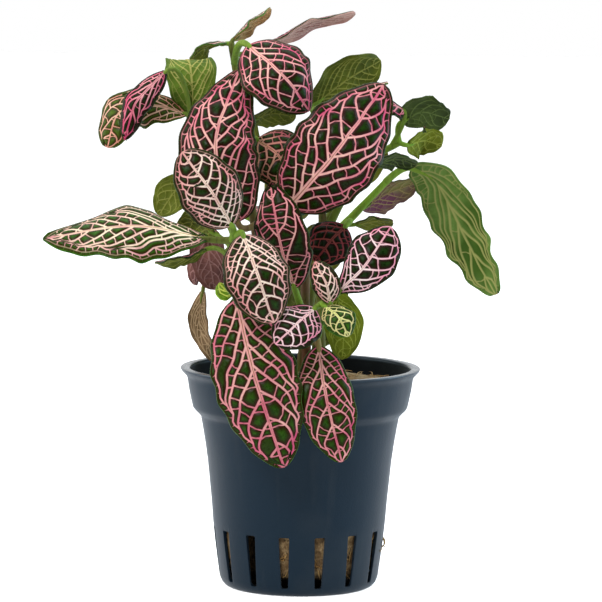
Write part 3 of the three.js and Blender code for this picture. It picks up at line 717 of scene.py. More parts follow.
def gatheredMesh(name, gathering, materials):
    uv = sheetPlaces(gathering)
    mesh = bpy.data.meshes.new(name)
    mesh.from_pydata((np.concatenate(gathering["places"]) * mm).tolist(), [], gathering["faces"])
    for material in materials:
        mesh.materials.append(material)
    mesh.polygons.foreach_set("material_index", gathering["finish"])
    mesh.polygons.foreach_set("use_smooth", [True] * len(mesh.polygons))
    corners = np.zeros(len(mesh.loops), dtype=np.int32)
    mesh.loops.foreach_get("vertex_index", corners)
    mesh.uv_layers.new(name="OFBake").data.foreach_set("uv", uv[corners].ravel())
    attribute = mesh.attributes.new("net", "FLOAT_COLOR", "POINT")
    attribute.data.foreach_set("color", np.concatenate(gathering["net"]).ravel())
    mesh.update()
    piece = bpy.data.objects.new(name, mesh)
    bpy.context.scene.collection.objects.link(piece)
    mendMesh(mesh)
    return piece


# Joins the seams, closes the pinholes left between cells and turns every face outwards
def mendMesh(mesh):
    work = bmesh.new()
    work.from_mesh(mesh)
    bmesh.ops.remove_doubles(work, verts=work.verts, dist=0.002 * mm)
    loose = [vert for vert in work.verts if not vert.link_faces]
    bmesh.ops.delete(work, geom=loose, context="VERTS")
    layer = work.loops.layers.uv.active
    for _ in range(4):
        crowded = {face for edge in work.edges if len(edge.link_faces) > 2 for face in edge.link_faces}
        bmesh.ops.delete(work, geom=list(crowded), context="FACES")
        gaps = [edge for edge in work.edges if edge.is_boundary]
        if not gaps:
            break
        made = bmesh.ops.holes_fill(work, edges=gaps, sides=0)["faces"]
        gaps = [edge for edge in gaps if edge.is_valid and edge.is_boundary]
        made += bmesh.ops.edgenet_fill(work, edges=gaps)["faces"]
        for corner in (corner for face in made for corner in face.loops):
            others = [other for other in corner.vert.link_loops if other.face not in made]
            if others:
                corner[layer].uv = others[0][layer].uv
    for _ in range(3):  # the last pinholes shrink to a point
        gaps = [edge for edge in work.edges if edge.is_boundary]
        bmesh.ops.collapse(work, edges=gaps, uvs=True)
    bmesh.ops.recalc_face_normals(work, faces=work.faces)
    work.to_mesh(mesh)
    work.free()


def edgeLoop(faces):
    pairs = {pair: True for face in faces for pair in around(face)}
    outside = {a: b for a, b in pairs if (b, a) not in pairs}
    first = next(iter(outside))
    loop = [first]
    while outside.get(loop[-1], first) != first and len(loop) <= len(outside):
        loop.append(outside[loop[-1]])
    return loop


def together(a, b):
    return np.allclose(a, b, atol=0.002)


# One side of a blade: each cell of the net gets a vein slope, a fine step and a low dome. The
# attribute "net" holds how much of a vein, of a dark edge, of paleness and of a groove there is.
def addBladeSide(gathering, leaf, points, faces, edgeMarks, finish, upper):
    size = leaf["size"]
    sign = 1 if upper else -1
    base = sign * bladeForm["thickness"] / 2
    noVein = (netForm["outlineHalf"], 0, 0, False)
    flat = [tuple(p) for p in points]
    heights, nets, built, strongest = [], [], [], {}
    for pair, mark in edgeMarks.items():
        for index in pair:
            if mark[0] > strongest.get(index, (0,))[0]:
                strongest[index] = mark
    ridge, ridgeMost = netForm["ridge" if upper else "underRidge"]
    for index in range(len(points)):
        half, pale, paint, groove = strongest.get(index, noVein)
        rise = min(half * ridge, ridgeMost)
        seen = paint
        if not upper:  # fine veins hardly show on the underside
            seen = paint * min(half / (netForm["sideHalf"] * size * 0.8), 1) ** netForm["underFade"]
        heights.append(base + sign * rise * (min(paint * 2, 1) if upper else seen))
        nets.append((seen, 0, pale, 1.0 if groove else 0.0))

    def addRing(ring, height, net):
        start = len(flat)
        flat.extend(map(tuple, ring))
        heights.extend([base + sign * height] * len(ring))
        nets.extend(net)
        return list(range(start, start + len(ring)))

    def bridgeRings(outer, inner, outerPlaces, innerPlaces):
        for k in range(len(outer)):
            n = (k + 1) % len(outer)
            narrow = together(innerPlaces[k], innerPlaces[n])
            if together(outerPlaces[k], outerPlaces[n]):
                if not narrow:
                    built.append([outer[k], inner[n], inner[k]])
            else:
                built.append([outer[k], outer[n]] + [inner[n]] * (not narrow) + [inner[k]])

    def fillRing(indexes, ring):
        kept = [k for k in range(len(ring)) if not together(ring[k], ring[k - 1])]
        if len(kept) < 5:
            built.append([indexes[k] for k in kept])
            return
        corners = [Vector((*ring[k], 0)) for k in kept]
        for triangle in tessellate_polygon([corners]):
            built.append([indexes[kept[k]] for k in triangle])

    for face in faces:
        polygon = points[face]
        count = len(face)
        marks = [edgeMarks.get(frozenset(pair), noVein) for pair in around(face)]
        halves = np.array([mark[0] for mark in marks])
        room = inradius(polygon)
        if not upper:
            wider, most = netForm["underSpread"]
            halves = np.minimum(halves * wider, room * most)
        ring1 = safeRing(polygon, np.minimum(halves, room * netForm["veinMost"]))
        if ring1 is None:
            fillRing(face, polygon)
            continue
        pales = [max(marks[k][1], marks[k - 1][1]) for k in range(count)]
        paints = [max(marks[k][2], marks[k - 1][2]) for k in range(count)]
        veinEnd = 0.6 if upper else 0
        first = addRing(ring1, 0.0, [(paints[k] * veinEnd, 0, pales[k], 0) for k in range(count)])
        bridgeRings(face, first, polygon, ring1)
        if not upper:
            fillRing(first, ring1)
            continue
        left = inradius(ring1)
        ring2 = safeRing(ring1, np.full(count, min(netForm["veinEdge"], left * 0.35)), 0.2)
        if ring2 is None:
            fillRing(first, ring1)
            continue
        raised = netForm["marginRise"] if any(mark[2] == 0 for mark in marks) else 1
        step = netForm["cellStep"] * size * raised
        second = addRing(ring2, step, [(0, 1, pale, 0) for pale in pales])
        bridgeRings(first, second, ring1, ring2)
        ring3 = safeRing(ring2, np.full(count, left * netForm["domeShare"]), 0.1)
        if ring3 is None:
            fillRing(second, ring2)
            continue
        dome = min(netForm["dome"] * size, left * netForm["domeMost"]) * raised
        third = addRing(ring3, dome * 0.8, [(0, 0.3, 0, 0)] * count)
        bridgeRings(second, third, ring2, ring3)
        centre = ring3.mean(axis=0)
        spokes = [area(np.array([centre, ring3[k], ring3[(k + 1) % count]])) for k in range(count)]
        if min(spokes) > -1e-6:
            (middle,) = addRing([centre], dome, [(0, 0, 0, 0)])
            for k in range(count):
                if spokes[k] > 1e-6:
                    built.append([third[k], third[(k + 1) % count], middle])
        else:
            fillRing(third, ring3)
    flat = np.array(flat)
    built = [face for face in built if len(face) >= 3]
    loop = edgeLoop(faces)  # a rounded rim joins the two sides
    outline = flat[loop]
    ahead = np.roll(outline, -1, axis=0) - np.roll(outline, 1, axis=0)
    outward = unit(np.stack([ahead[:, 1], -ahead[:, 0]], axis=1))
    rounded = outline + outward * bladeForm["rimRound"]
    for k in range(len(loop)):
        n = (k + 1) % len(loop)
        built.append([loop[n], loop[k], len(flat) + k, len(flat) + n])
    places = np.vstack([
        ontoBlade(leaf, flat[:, 0], flat[:, 1], np.array(heights)),
        ontoBlade(leaf, rounded[:, 0], rounded[:, 1], np.zeros(len(loop))),
    ])
    net = np.vstack([nets, [(0, 0, 0, 0)] * len(loop)])
    sheet = np.vstack([flat, outline + outward * 0.4]) * (sign, 1)
    addPatch(gathering, places, [face[::sign] for face in built], finish, net, sheet)


# Lets the lines of the net wander a little, less towards the midrib and the edge
def warped(leaf, points, draw):
    shift = Vector((draw.uniform(0, 90), draw.uniform(0, 90), 0))
    half = np.maximum(halfWidth(leaf, points[:, 1] / leaf["line"]["length"]), 0.5)
    share = np.clip(np.abs(points[:, 0]) / half, 0, 1)
    fade = np.clip(4 * share, 0.35, 1) * np.clip(1.6 - 1.6 * share, 0, 1) * netForm["warp"]
    moved = points.copy()
    for k, (x, y) in enumerate(points):
        place = Vector((x, y, 0)) * netForm["warpScale"] + shift
        moved[k, 0] += noise.noise(place) * fade[k] * 2
        moved[k, 1] += noise.noise(place + Vector((0, 0, 9))) * fade[k] * 2 * min(share[k] * 4, 1)
    return moved


def addLeaf(gathering, leaf, finishes, draw):
    width = leaf["width"]
    leaf["size"] = limit(width / bladeForm["fullSize"], bladeForm["leastSize"], 1)
    leaf["line"] = smoothCurve(leaf["midrib"])
    leaf["crimpTurns"] = draw.uniform(*bladeForm["crimpTurns"])
    leaf["crimpShift"] = draw.uniform(0, 6)
    leaf["crimp"] = bladeForm["crimp"] * min(width / bladeForm["fullSize"], 1) * leaf["wave"]
    veins = growVeins(leaf, draw)
    points, faces, edgeMarks = netCells(veins, netForm["stepLength"] * limit(width / 18, 0.6, 1))
    points = warped(leaf, points, draw)
    faces = [face if area(points[face]) > 0 else face[::-1] for face in faces]
    faces = [face for face in faces if area(points[face]) > 1e-4]
    for finish, upper in zip(finishes, (True, False)):
        addBladeSide(gathering, leaf, points, faces, edgeMarks, finish, upper)


# Helpers for the materials

def hexColor(text):
    parts = [int(text[k : k + 2], 16) / 255 for k in (1, 3, 5)]
    return (*[p / 12.92 if p <= 0.04045 else ((p + 0.055) / 1.055) ** 2.4 for p in parts], 1)


def addNode(tree, kind, inputs=None, **settings):
    made = tree.nodes.new("ShaderNode" + kind)
    for name, value in settings.items():
        setattr(made, name, value)
    for name, value in (inputs or {}).items():
        if isinstance(value, bpy.types.NodeSocket):
            tree.links.new(value, made.inputs[name])
        else:
            made.inputs[name].default_value = value
    return made


def calculate(tree, operation, a, b=0.0):
    return addNode(tree, "Math", {0: a, 1: b}, operation=operation).outputs[0]


def mixColors(tree, factor, a, b):
    inputs = {"Factor": factor, "A": a, "B": b}
    return addNode(tree, "Mix", inputs, data_type="RGBA").outputs["Result"]


def mapValue(tree, value, low, high, toLow=0.0, toHigh=1.0):
    inputs = {"Value": value, "From Min": low, "From Max": high, "To Min": toLow, "To Max": toHigh}
    return addNode(tree, "MapRange", inputs).outputs["Result"]


# Turns a colour towards another one as the value goes through its span
def tinted(tree, color, other, value, *span):
    return mixColors(tree, mapValue(tree, value, *span), color, other)


def noiseAt(tree, scale, detail=3.0, stretch=(1, 1, 1), roughness=0.5):
    place = addNode(tree, "TexCoord").outputs["Object"]
    place = addNode(tree, "Mapping", {"Vector": place, "Scale": stretch}).outputs["Vector"]
    inputs = {"Vector": place, "Scale": scale, "Detail": detail, "Roughness": roughness}
    return addNode(tree, "TexNoise", inputs).outputs["Fac"]


def heightAt(tree):
    place = addNode(tree, "TexCoord").outputs["Object"]
    return addNode(tree, "SeparateXYZ", {"Vector": place}).outputs["Z"]


def valueOf(tree, attribute):
    return addNode(tree, "Attribute", attribute_name=attribute).outputs["Fac"]


# The parts of the attribute "net": vein, dark edge, paleness (along a stem: its age) and groove
def netParts(tree):
    net = addNode(tree, "Attribute", attribute_name="net").outputs
    return (*addNode(tree, "SeparateColor", {"Color": net["Color"]}).outputs, net["Alpha"])


def newGroup(name, colors):
    group = bpy.data.node_groups.new(name, "ShaderNodeTree")
    for color in colors:
        group.interface.new_socket(color, in_out="INPUT", socket_type="NodeSocketColor")
    for socket, kind in (("Color", "Color"), ("Roughness", "Float"), ("Height", "Float")):
        group.interface.new_socket(socket, in_out="OUTPUT", socket_type="NodeSocket" + kind)
    return group, group.nodes.new("NodeGroupInput").outputs


def finishedGroup(group, color, roughness, height):
    result = group.nodes.new("NodeGroupOutput")
    for socket, value in (("Color", color), ("Roughness", roughness), ("Height", height)):
        group.links.new(value, result.inputs[socket])
    return group


def newMaterial(name, group, colors, shader, bumpDistance):
    material = bpy.data.materials.new(name)
    material.use_nodes = True
    tree = material.node_tree
    principled = tree.nodes["Principled BSDF"]
    colors = {socket: hexColor(color) for socket, color in colors.items()}
    effect = addNode(tree, "Group", colors, node_tree=group).outputs
    bump = {"Height": effect["Height"], "Distance": bumpDistance, "Strength": 1.0}
    tree.links.new(effect["Color"], principled.inputs["Base Color"])
    tree.links.new(effect["Roughness"], principled.inputs["Roughness"])
    tree.links.new(addNode(tree, "Bump", bump).outputs["Normal"], principled.inputs["Normal"])
    for socket, value in shader.items():
        principled.inputs[socket].default_value = value
    return material


# The colours of the leaves' two sides and of the stems, by the names that the leaves' looks use

topColors = ("Vein Pale", "Vein Deep", "Groove", "Halo", "Cell", "Cell Light")
leafTops = {
    "pink": ("#f9c6b6", "#d8567a", "#b0645a", "#340a0a", "#0c1a02", "#264a0c"),
    "rose": ("#f6b4b4", "#d2446f", "#a44454", "#300808", "#0a1803", "#1f3e0e"),
    "young": ("#fdeed8", "#e09290", "#c08a70", "#34100a", "#0f2003", "#284a10"),
    "blush": ("#fff4ec", "#e88aa4", "#cc9888", "#2c0a08", "#0a1a03", "#20400e"),
    "spring": ("#f6bcae", "#d25478", "#a85c4c", "#361408", "#173004", "#386010"),
    "straw": ("#fdf2cc", "#dc9498", "#b88050", "#3a1e08", "#1c4206", "#437818"),
    "lime": ("#ecee9c", "#c4b078", "#94a440", "#2a3408", "#1a3a08", "#48781c"),
    "bud": ("#dce268", "#b4c648", "#94a234", "#66821e", "#5f8a1e", "#98b83a"),
    "tan": ("#e4b094", "#c4606a", "#98603e", "#2c1008", "#122c06", "#2e5614"),
    "ember": ("#f4ceb0", "#d88c78", "#a8684c", "#3c240c", "#344c0e", "#5c7424"),
    # painted shade: a darkened copy of the pink look, for a leaf lying in shade
    "dusk": ("#8c4840", "#7a2634", "#4c2420", "#1c0808", "#0a1404", "#142a0a"),
}
underColors = ("Skin", "Skin Dark", "Rib")
leafUnders = {
    "olive": ("#6e7824", "#4c5618", "#969848"),
    "deep": ("#4a5c2a", "#303e1c", "#687c42"),
    "bright": ("#808e26", "#586a18", "#acba4c"),
    "pale": ("#6e8e42", "#42601e", "#a8a862"),
    "dusky": ("#7c7c3c", "#6c3c50", "#a08c58"),
    "brown": ("#8a6e4e", "#5a4830", "#b89c76"),
    "tan": ("#c09864", "#7c5a34", "#e4c48c"),
    "rosy": ("#dcaea0", "#b07e76", "#f0d0c4"),
    "ribbed": ("#6c862c", "#465e18", "#b4ae60"),
    "mauve": ("#8c5c54", "#4c2c2a", "#a87c76"),
    "bud": ("#8aa438", "#6c8828", "#b6c860"),
}
stemColors = ("Green", "Blush", "Streak")
stemLooks = {
    "green": ("#7a9a36", "#6a5a38", "#566a2c"),
    "brown": ("#6a7830", "#6e4c3a", "#4c3c24"),
    "bright": ("#86ae38", "#6f6a38", "#6a9030"),
    "blush": ("#8a7a48", "#9a6458", "#6a4a34"),
}


# Upper sides: pale to deep veins with a dark edge, on darker cells
def makeLeafTopGroup():
    group, given = newGroup("leafTop", topColors)
    vein, halo, pale, groove = netParts(group)
    broad = noiseAt(group, 160, 2)
    fine = noiseAt(group, 900, 4, roughness=0.65)
    grain = noiseAt(group, 5200, 2)
    paleness = calculate(group, "ADD", pale, mapValue(group, broad, 0.35, 0.65, -0.22, 0.28))
    veinColor = tinted(group, given["Vein Deep"], given["Vein Pale"], paleness, 0.15, 0.85)
    veinColor = tinted(group, veinColor, given["Halo"], fine, 0.45, 0.8, 0, 0.3)
    paleGroove = mapValue(group, pale, 0.3, 0.7, 0.25, 0.9)
    deep = calculate(group, "MULTIPLY", mapValue(group, groove, 0.66, 0.84), paleGroove)
    veinColor = mixColors(group, deep, veinColor, given["Groove"])
    veinColor = tinted(group, veinColor, given["Vein Deep"], vein, 0.62, 0.85, 0.45, 0)
    fleck = mapValue(group, fine, 0.35, 0.7, 0.15, 1)
    light = calculate(group, "MULTIPLY", mapValue(group, halo, 0.0, 0.5, 1, 0), fleck)
    cellColor = mixColors(group, light, given["Cell"], given["Cell Light"])
    cellColor = tinted(group, cellColor, given["Halo"], halo, 0.15, 1.0)
    color = tinted(group, cellColor, veinColor, vein, 0.2, 0.62)
    uneven = mapValue(group, fine, 0.3, 0.7, -0.05, 0.1)
    rough = calculate(group, "ADD", mapValue(group, vein, 0, 1, 0.27, 0.45), uneven)
    height = calculate(group, "ADD", calculate(group, "MULTIPLY", grain, 0.35), fine)
    return finishedGroup(group, color, rough, height)


def makeLeafUnderGroup():
    group, given = newGroup("leafUnder", underColors)
    broad = noiseAt(group, 120, 2)
    fine = noiseAt(group, 1100, 4, roughness=0.65)
    color = tinted(group, given["Skin"], given["Skin Dark"], broad, 0.38, 0.62)
    color = tinted(group, color, given["Skin Dark"], fine, 0.4, 0.75, 0, 0.45)
    color = tinted(group, color, given["Rib"], netParts(group)[0], 0.15, 0.8, 0, 0.9)
    return finishedGroup(group, color, mapValue(group, fine, 0.3, 0.7, 0.45, 0.6), fine)


def makeStemGroup():
    group, given = newGroup("stemSkin", stemColors)
    broad = noiseAt(group, 90, 2)
    streaks = noiseAt(group, 1500, 3, stretch=(1, 1, 0.12))
    fine = noiseAt(group, 3000, 3)
    young = mapValue(group, netParts(group)[2], 0.35, 0.85, 1, 0)
    aged = calculate(group, "ADD", young, mapValue(group, broad, 0.35, 0.65, -0.3, 0.3))
    color = mixColors(group, aged, given["Green"], given["Blush"])
    color = tinted(group, color, given["Streak"], streaks, 0.45, 0.7, 0, 0.7)
    rough = mapValue(group, fine, 0.3, 0.7, 0.4, 0.6)
    return finishedGroup(group, color, rough, calculate(group, "ADD", streaks, fine))


def leafMaterials():
    made = {}
    for kind, group, colors, looks, bumpDistance in (
        ("leaf top", makeLeafTopGroup(), topColors, leafTops, 0.00006),
        ("leaf under", makeLeafUnderGroup(), underColors, leafUnders, 0.00008),
        ("stem", makeStemGroup(), stemColors, stemLooks, 0.00008),
    ):
        for look, values in looks.items():
            name = kind + " " + look
            own = dict(zip(colors, values))
            made[name] = newMaterial(name, group, own, {"Specular IOR Level": 0.11}, bumpDistance)
    return made


# Stems and leaf stalks

def addTube(gathering, points, radii, finish, sides=12, ages=(0, 1)):
    points = np.array(points, float)
    radii = np.array(radii, float)
    ahead = unit(np.gradient(points, axis=0))
    side = unit(np.cross(ahead[0], (0.3, 0.9, 0.2)))
    across = []
    for direction in ahead:
        side = unit(side - direction * (side @ direction))
        across.append(side)
    across = np.array(across)
    over = np.cross(ahead, across)
    angles = np.linspace(0, 2 * np.pi, sides + 1)
    cos, sin = np.cos(angles)[None, :, None], np.sin(angles)[None, :, None]
    rings = points[:, None] + radii[:, None, None] * (across[:, None] * cos + over[:, None] * sin)
    travelled = distanceAlong(points, 0.02)
    girth = np.linspace(0, 2 * np.pi * radii.max(), sides + 1)
    columns = sides + 1
    corners = [row * columns + k for row in range(len(points) - 1) for k in range(sides)]
    faces = [[first, first + 1, first + columns + 1, first + columns] for first in corners]
    age = ages[0] + (ages[1] - ages[0]) * travelled / travelled[-1]
    net = [(0, 0, value, 0) for value in age for _ in girth]
    flat = [(u, v) for v in travelled for u in girth]
    addPatch(gathering, rings.reshape(-1, 3), faces, finish, net, flat)


def withRoundEnds(points, radii):
    points, radii = np.array(points, float), np.array(radii, float)
    start = points[0] - unit(points[1] - points[0]) * radii[0]
    end = points[-1] + unit(points[-1] - points[-2]) * radii[-1]
    startBend = points[0] + (start - points[0]) * 0.6
    endBend = points[-1] + (end - points[-1]) * 0.6
    points = np.vstack([[start], [startBend], points, [endBend], [end]])
    return points, np.concatenate([[0, radii[0] * 0.8], radii, [radii[-1] * 0.8, 0]])


# A stalk bends from the shoot to the leaf and goes on under the blade as a tail that thins out
def addStalk(gathering, leaf, shootLine, finish):
    start = pointAt(shootLine, leaf["at"])
    base = np.array(leaf["midrib"][0], float)
    lead = directionAt(leaf["line"], 0.01)
    bend = base - lead * stemForm["stalkBend"] * np.linalg.norm(start - base)
    t = np.linspace(0, 1, 12)[:, None]
    path = start * (1 - t) ** 2 + 2 * bend * t * (1 - t) + base * t**2
    under = np.linspace(*stemForm["tailReach"], 5) * leaf["line"]["length"]
    tail = ontoBlade(leaf, np.zeros(5), under, np.array(stemForm["tailDepth"]))
    share = limit(leaf["width"] / stemForm["stalkWidth"], *stemForm["stalkShares"])
    radius = stemForm["stalkRadius"] * share
    wide, narrow = stemForm["stalkTaper"]
    narrowing = np.linspace(radius * wide, radius * narrow, 12)
    radii = np.concatenate([narrowing, radius * np.array(stemForm["tail"])])
    points, radii = withRoundEnds(np.vstack([path, tail]), radii)
    addTube(gathering, points, radii, finish, 10, (0.75, 1))


def addShoot(gathering, shoot, finish):
    line = smoothCurve(shoot["route"])
    shares = np.linspace(0, 1, max(int(line["length"] / stemForm["stepLength"]), 12))
    full, loss = stemForm["taper"]
    radii = shoot["radius"] * (full - loss * shares)
    for leaf in shoot["leaves"]:
        away = (shares - leaf["at"]) * line["length"] / stemForm["nodeLength"]
        radii = radii + stemForm["node"] * np.exp(-(away**2))
    radii = np.minimum(radii, shoot["radius"] * stemForm["nodeMost"])
    tip = np.clip((shares - stemForm["tipStart"]) / 0.4, 0, 1) ** 1.5
    radii -= (radii - stemForm["stalkRadius"]) * tip
    points, radii = withRoundEnds(pointAt(line, shares), radii)
    addTube(gathering, points, radii, finish, 14)
    return line


def makeLeafyStem(name, leafyStem, materials, seed):
    draw = random.Random(seed)
    gathering = newGathering()
    used = []

    def finishOf(material):
        if material not in used:
            used.append(material)
        return used.index(material)

    for shoot in leafyStem["shoots"]:
        line = addShoot(gathering, shoot, finishOf("stem " + leafyStem["stem"]))
        for leaf in shoot["leaves"]:
            top, under, stalk = leaf["look"].split()
            sides = (finishOf("leaf top " + top), finishOf("leaf under " + under))
            addLeaf(gathering, leaf, sides, draw)
            addStalk(gathering, leaf, line, finishOf("stem " + stalk))
    piece = gatheredMesh(name + "_look", gathering, [materials[material] for material in used])
    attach(piece, "root")
    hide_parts(name)
    return piece


materials = leafMaterials()
for seed, (name, leafyStem) in enumerate(leafyStems.items(), 40):
    piece = makeLeafyStem(name, leafyStem, materials, seed)
    print(name, "made with", len(piece.data.polygons), "faces")


# The pot, turned from a profile of rings, with its slots and drain holes cut out

potForm = {
    "rings": [  # radius and height from the middle of the underside, round the lip, to the inner floor
        (3, 0), (15.6, 0), (16.5, 0.12), (17.25, 0.5), (17.8, 1.1), (18.15, 1.8), (18.4, 2.6),
        (18.95, 6.5), (19.5, 10.8), (20, 15.5), (20.35, 20), (21.3, 29.4), (21.85, 33.3), (22.4, 36.6),
        (22.8, 38.8), (22.92, 39.5), (23.1, 39.85), (23.45, 40.25), (24.45, 41.25), (24.75, 41.65),
        (24.92, 42.1), (25.05, 42.7), (25.25, 43.6), (25.75, 46), (26.05, 48), (26.15, 48.6),
        (26.4, 49.15), (26.95, 49.7), (27.4, 50.15), (27.64, 50.5), (27.7, 50.75), (27.64, 50.93),
        (27.45, 51), (26.1, 51), (25.75, 50.92), (25.5, 50.65), (25.35, 50.1), (25.1, 48.5),
        (24.75, 46), (24.2, 43.5), (23.9, 42.2), (23.6, 41.6), (22.4, 40.45), (22, 39.8), (21.8, 38.8),
        (20.4, 29.4), (19.6, 20), (18, 3), (17, 2), (16.3, 1.3), (3, 1.3),
    ],
    "segments": 180,
    "slotCount": 15,
    "slotTurn": 14,  # degrees
    "slotHeights": (2.1, 14.1),  # foot and top
    "slotWidths": (1.6, 2.5),
    "slotRound": 0.35,
    "drainCount": 5,
    "drainReach": (7, 12.5),  # inner and outer end, from the pot's axis
    "drainWidth": 3,
    "edgeRound": 0.12,
    "lipHeight": 50.2,  # the inside below it is in shade
}


def clearSelection():
    if bpy.context.mode != "OBJECT":
        bpy.ops.object.mode_set(mode="OBJECT")
    bpy.ops.object.select_all(action="DESELECT")


def activate(*pieces):
    clearSelection()
    for piece in pieces:
        piece.select_set(True)
    bpy.context.view_layer.objects.active = pieces[0]


def settle():
    bpy.ops.object.transform_apply(location=True, rotation=True, scale=True)


# Turns a list of (radius, height) rings, in millimetres, into one closed skin
def turnRings(name, rings, segments):
    clearSelection()
    radius, height = rings[0]
    place = (0, 0, height * mm)
    bpy.ops.mesh.primitive_circle_add(vertices=segments, radius=radius * mm, location=place)
    piece = bpy.context.object
    piece.name = name
    settle()
    bpy.ops.object.mode_set(mode="EDIT")
    bpy.ops.mesh.select_all(action="SELECT")
    for (radiusBefore, heightBefore), (radius, height) in zip(rings, rings[1:]):
        rise = (0, 0, (height - heightBefore) * mm)
        bpy.ops.mesh.extrude_region_move(TRANSFORM_OT_translate={"value": rise})
        share = radius / radiusBefore
        bpy.ops.transform.resize(value=(share, share, 1), center_override=(0, 0, height * mm))
    bpy.ops.mesh.select_all(action="SELECT")
    bpy.ops.mesh.fill_holes(sides=0)
    bpy.ops.mesh.select_all(action="SELECT")
    bpy.ops.mesh.normals_make_consistent(inside=False)
    bpy.ops.object.mode_set(mode="OBJECT")
    return piece


def addBlock(size, place):
    clearSelection()
    bpy.ops.mesh.primitive_cube_add(size=1)
    block = bpy.context.object
    block.scale = [value * mm for value in size]
    block.location = [value * mm for value in place]
    settle()
    return block


def slotAngle(index):
    return math.radians(potForm["slotTurn"]) + 2 * math.pi * index / potForm["slotCount"]


# A block for each slot, narrower at its foot and with its long edges rounded, and for each drain hole
def makeCutters():
    cutters = []
    (foot, top), (footWidth, topWidth) = potForm["slotHeights"], potForm["slotWidths"]
    for index in range(potForm["slotCount"]):
        cutter = addBlock((topWidth, 10, top - foot), (0, -20, (top + foot) / 2))
        corners = cutter.data.vertices
        for vert in corners:
            if vert.co.z < 5 * mm:
                vert.co.x *= footWidth / topWidth
        cutter.rotation_euler = (0, 0, slotAngle(index))
        bpy.ops.object.mode_set(mode="EDIT")
        bpy.ops.mesh.select_all(action="DESELECT")
        bpy.ops.object.mode_set(mode="OBJECT")
        for edge in cutter.data.edges:
            a, b = (corners[k].co.y for k in edge.vertices)
            edge.select = abs(a - b) > 5 * mm
        bpy.ops.object.mode_set(mode="EDIT")
        bpy.ops.mesh.bevel(offset=potForm["slotRound"] * mm, segments=3)
        bpy.ops.object.mode_set(mode="OBJECT")
        cutters.append(cutter)
    inner, outer = potForm["drainReach"]
    for index in range(potForm["drainCount"]):
        cutter = addBlock((potForm["drainWidth"], outer - inner, 6), (0, -(inner + outer) / 2, 0))
        cutter.rotation_euler = (0, 0, 2 * math.pi * (index + 0.5) / potForm["drainCount"])
        cutters.append(cutter)
    activate(*cutters)
    settle()
    bpy.ops.object.join()
    return bpy.context.object


def applyModifier(piece, kind, **settings):
    activate(piece)
    modifier = piece.modifiers.new("step", kind)
    for setting, value in settings.items():
        setattr(modifier, setting, value)
    bpy.ops.object.modifier_apply(modifier=modifier.name)


def makePotMaterial():
    group, given = newGroup("mouldedPlastic", ("Plastic", "Dust"))
    cloud = noiseAt(group, 45, 3)
    fine = noiseAt(group, 2600, 2)
    drag = noiseAt(group, 260, 4, stretch=(1, 1, 0.1))
    inner, height = valueOf(group, "inner"), heightAt(group)
    color = tinted(group, given["Plastic"], given["Dust"], cloud, 0.5, 0.75, 0, 0.05)
    color = tinted(group, color, given["Dust"], drag, 0.55, 0.8, 0, 0.04)
    # painted shade: the inside of the pot below the lip is darkened almost to black
    color = mixColors(group, inner, color, (0.0012, 0.0016, 0.002, 1))
    # painted highlight: the lip's top edge is made lighter
    color = tinted(group, color, (0.4, 0.46, 0.52, 1), height, 0.0504, 0.0508, 0, 0.09)
    clouded = mapValue(group, cloud, 0.3, 0.7, 0, 0.05)
    rough = calculate(group, "ADD", mapValue(group, drag, 0.3, 0.7, 0.3, 0.4), clouded)
    rough = calculate(group, "ADD", rough, calculate(group, "MULTIPLY", inner, 0.5))
    polish = mapValue(group, height, 0.0502, 0.0507, 0, 0.2)  # the lip's edge is smoother
    rough = calculate(group, "SUBTRACT", rough, polish)
    bumps = calculate(group, "ADD", fine, calculate(group, "MULTIPLY", drag, 0.6))
    finishedGroup(group, color, rough, bumps)
    shader = {
        "Specular IOR Level": 0.32, "Specular Tint": (0.66, 0.86, 1, 1),
        "Sheen Weight": 0.16, "Sheen Roughness": 0.35, "Sheen Tint": (0.82, 0.92, 1, 1),
    }
    colors = {"Plastic": "#0a1c2a", "Dust": "#8a8478"}
    return newMaterial("pot plastic", group, colors, shader, 0.00003)


def makePot():
    pot = turnRings("pot_look", potForm["rings"], potForm["segments"])
    cutters = makeCutters()
    applyModifier(pot, "BOOLEAN", operation="DIFFERENCE", solver="EXACT", object=cutters)
    bpy.data.objects.remove(cutters)
    width, angle = potForm["edgeRound"] * mm, math.radians(50)
    applyModifier(pot, "BEVEL", width=width, segments=2, limit_method="ANGLE", angle_limit=angle)
    activate(pot)
    bpy.ops.object.shade_smooth_by_angle(angle=math.radians(40))
    # marks the inside below the lip, where painted shade darkens the plastic
    inner = pot.data.attributes.new("inner", "FLOAT", "POINT")
    for vert in pot.data.vertices:
        inward = -(vert.co.x * vert.normal.x + vert.co.y * vert.normal.y) / max(vert.co.xy.length, 1e-6)
        below = vert.co.z < potForm["lipHeight"] * mm
        inner.data[vert.index].value = 1.0 if inward > 0.3 and below else 0.0
    pot.data.materials.append(makePotMaterial())
    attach(pot, "root")
    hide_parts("pot")


makePot()
print("pot made")


# The growing medium: a fibrous plug with loose strands on it and in the slots

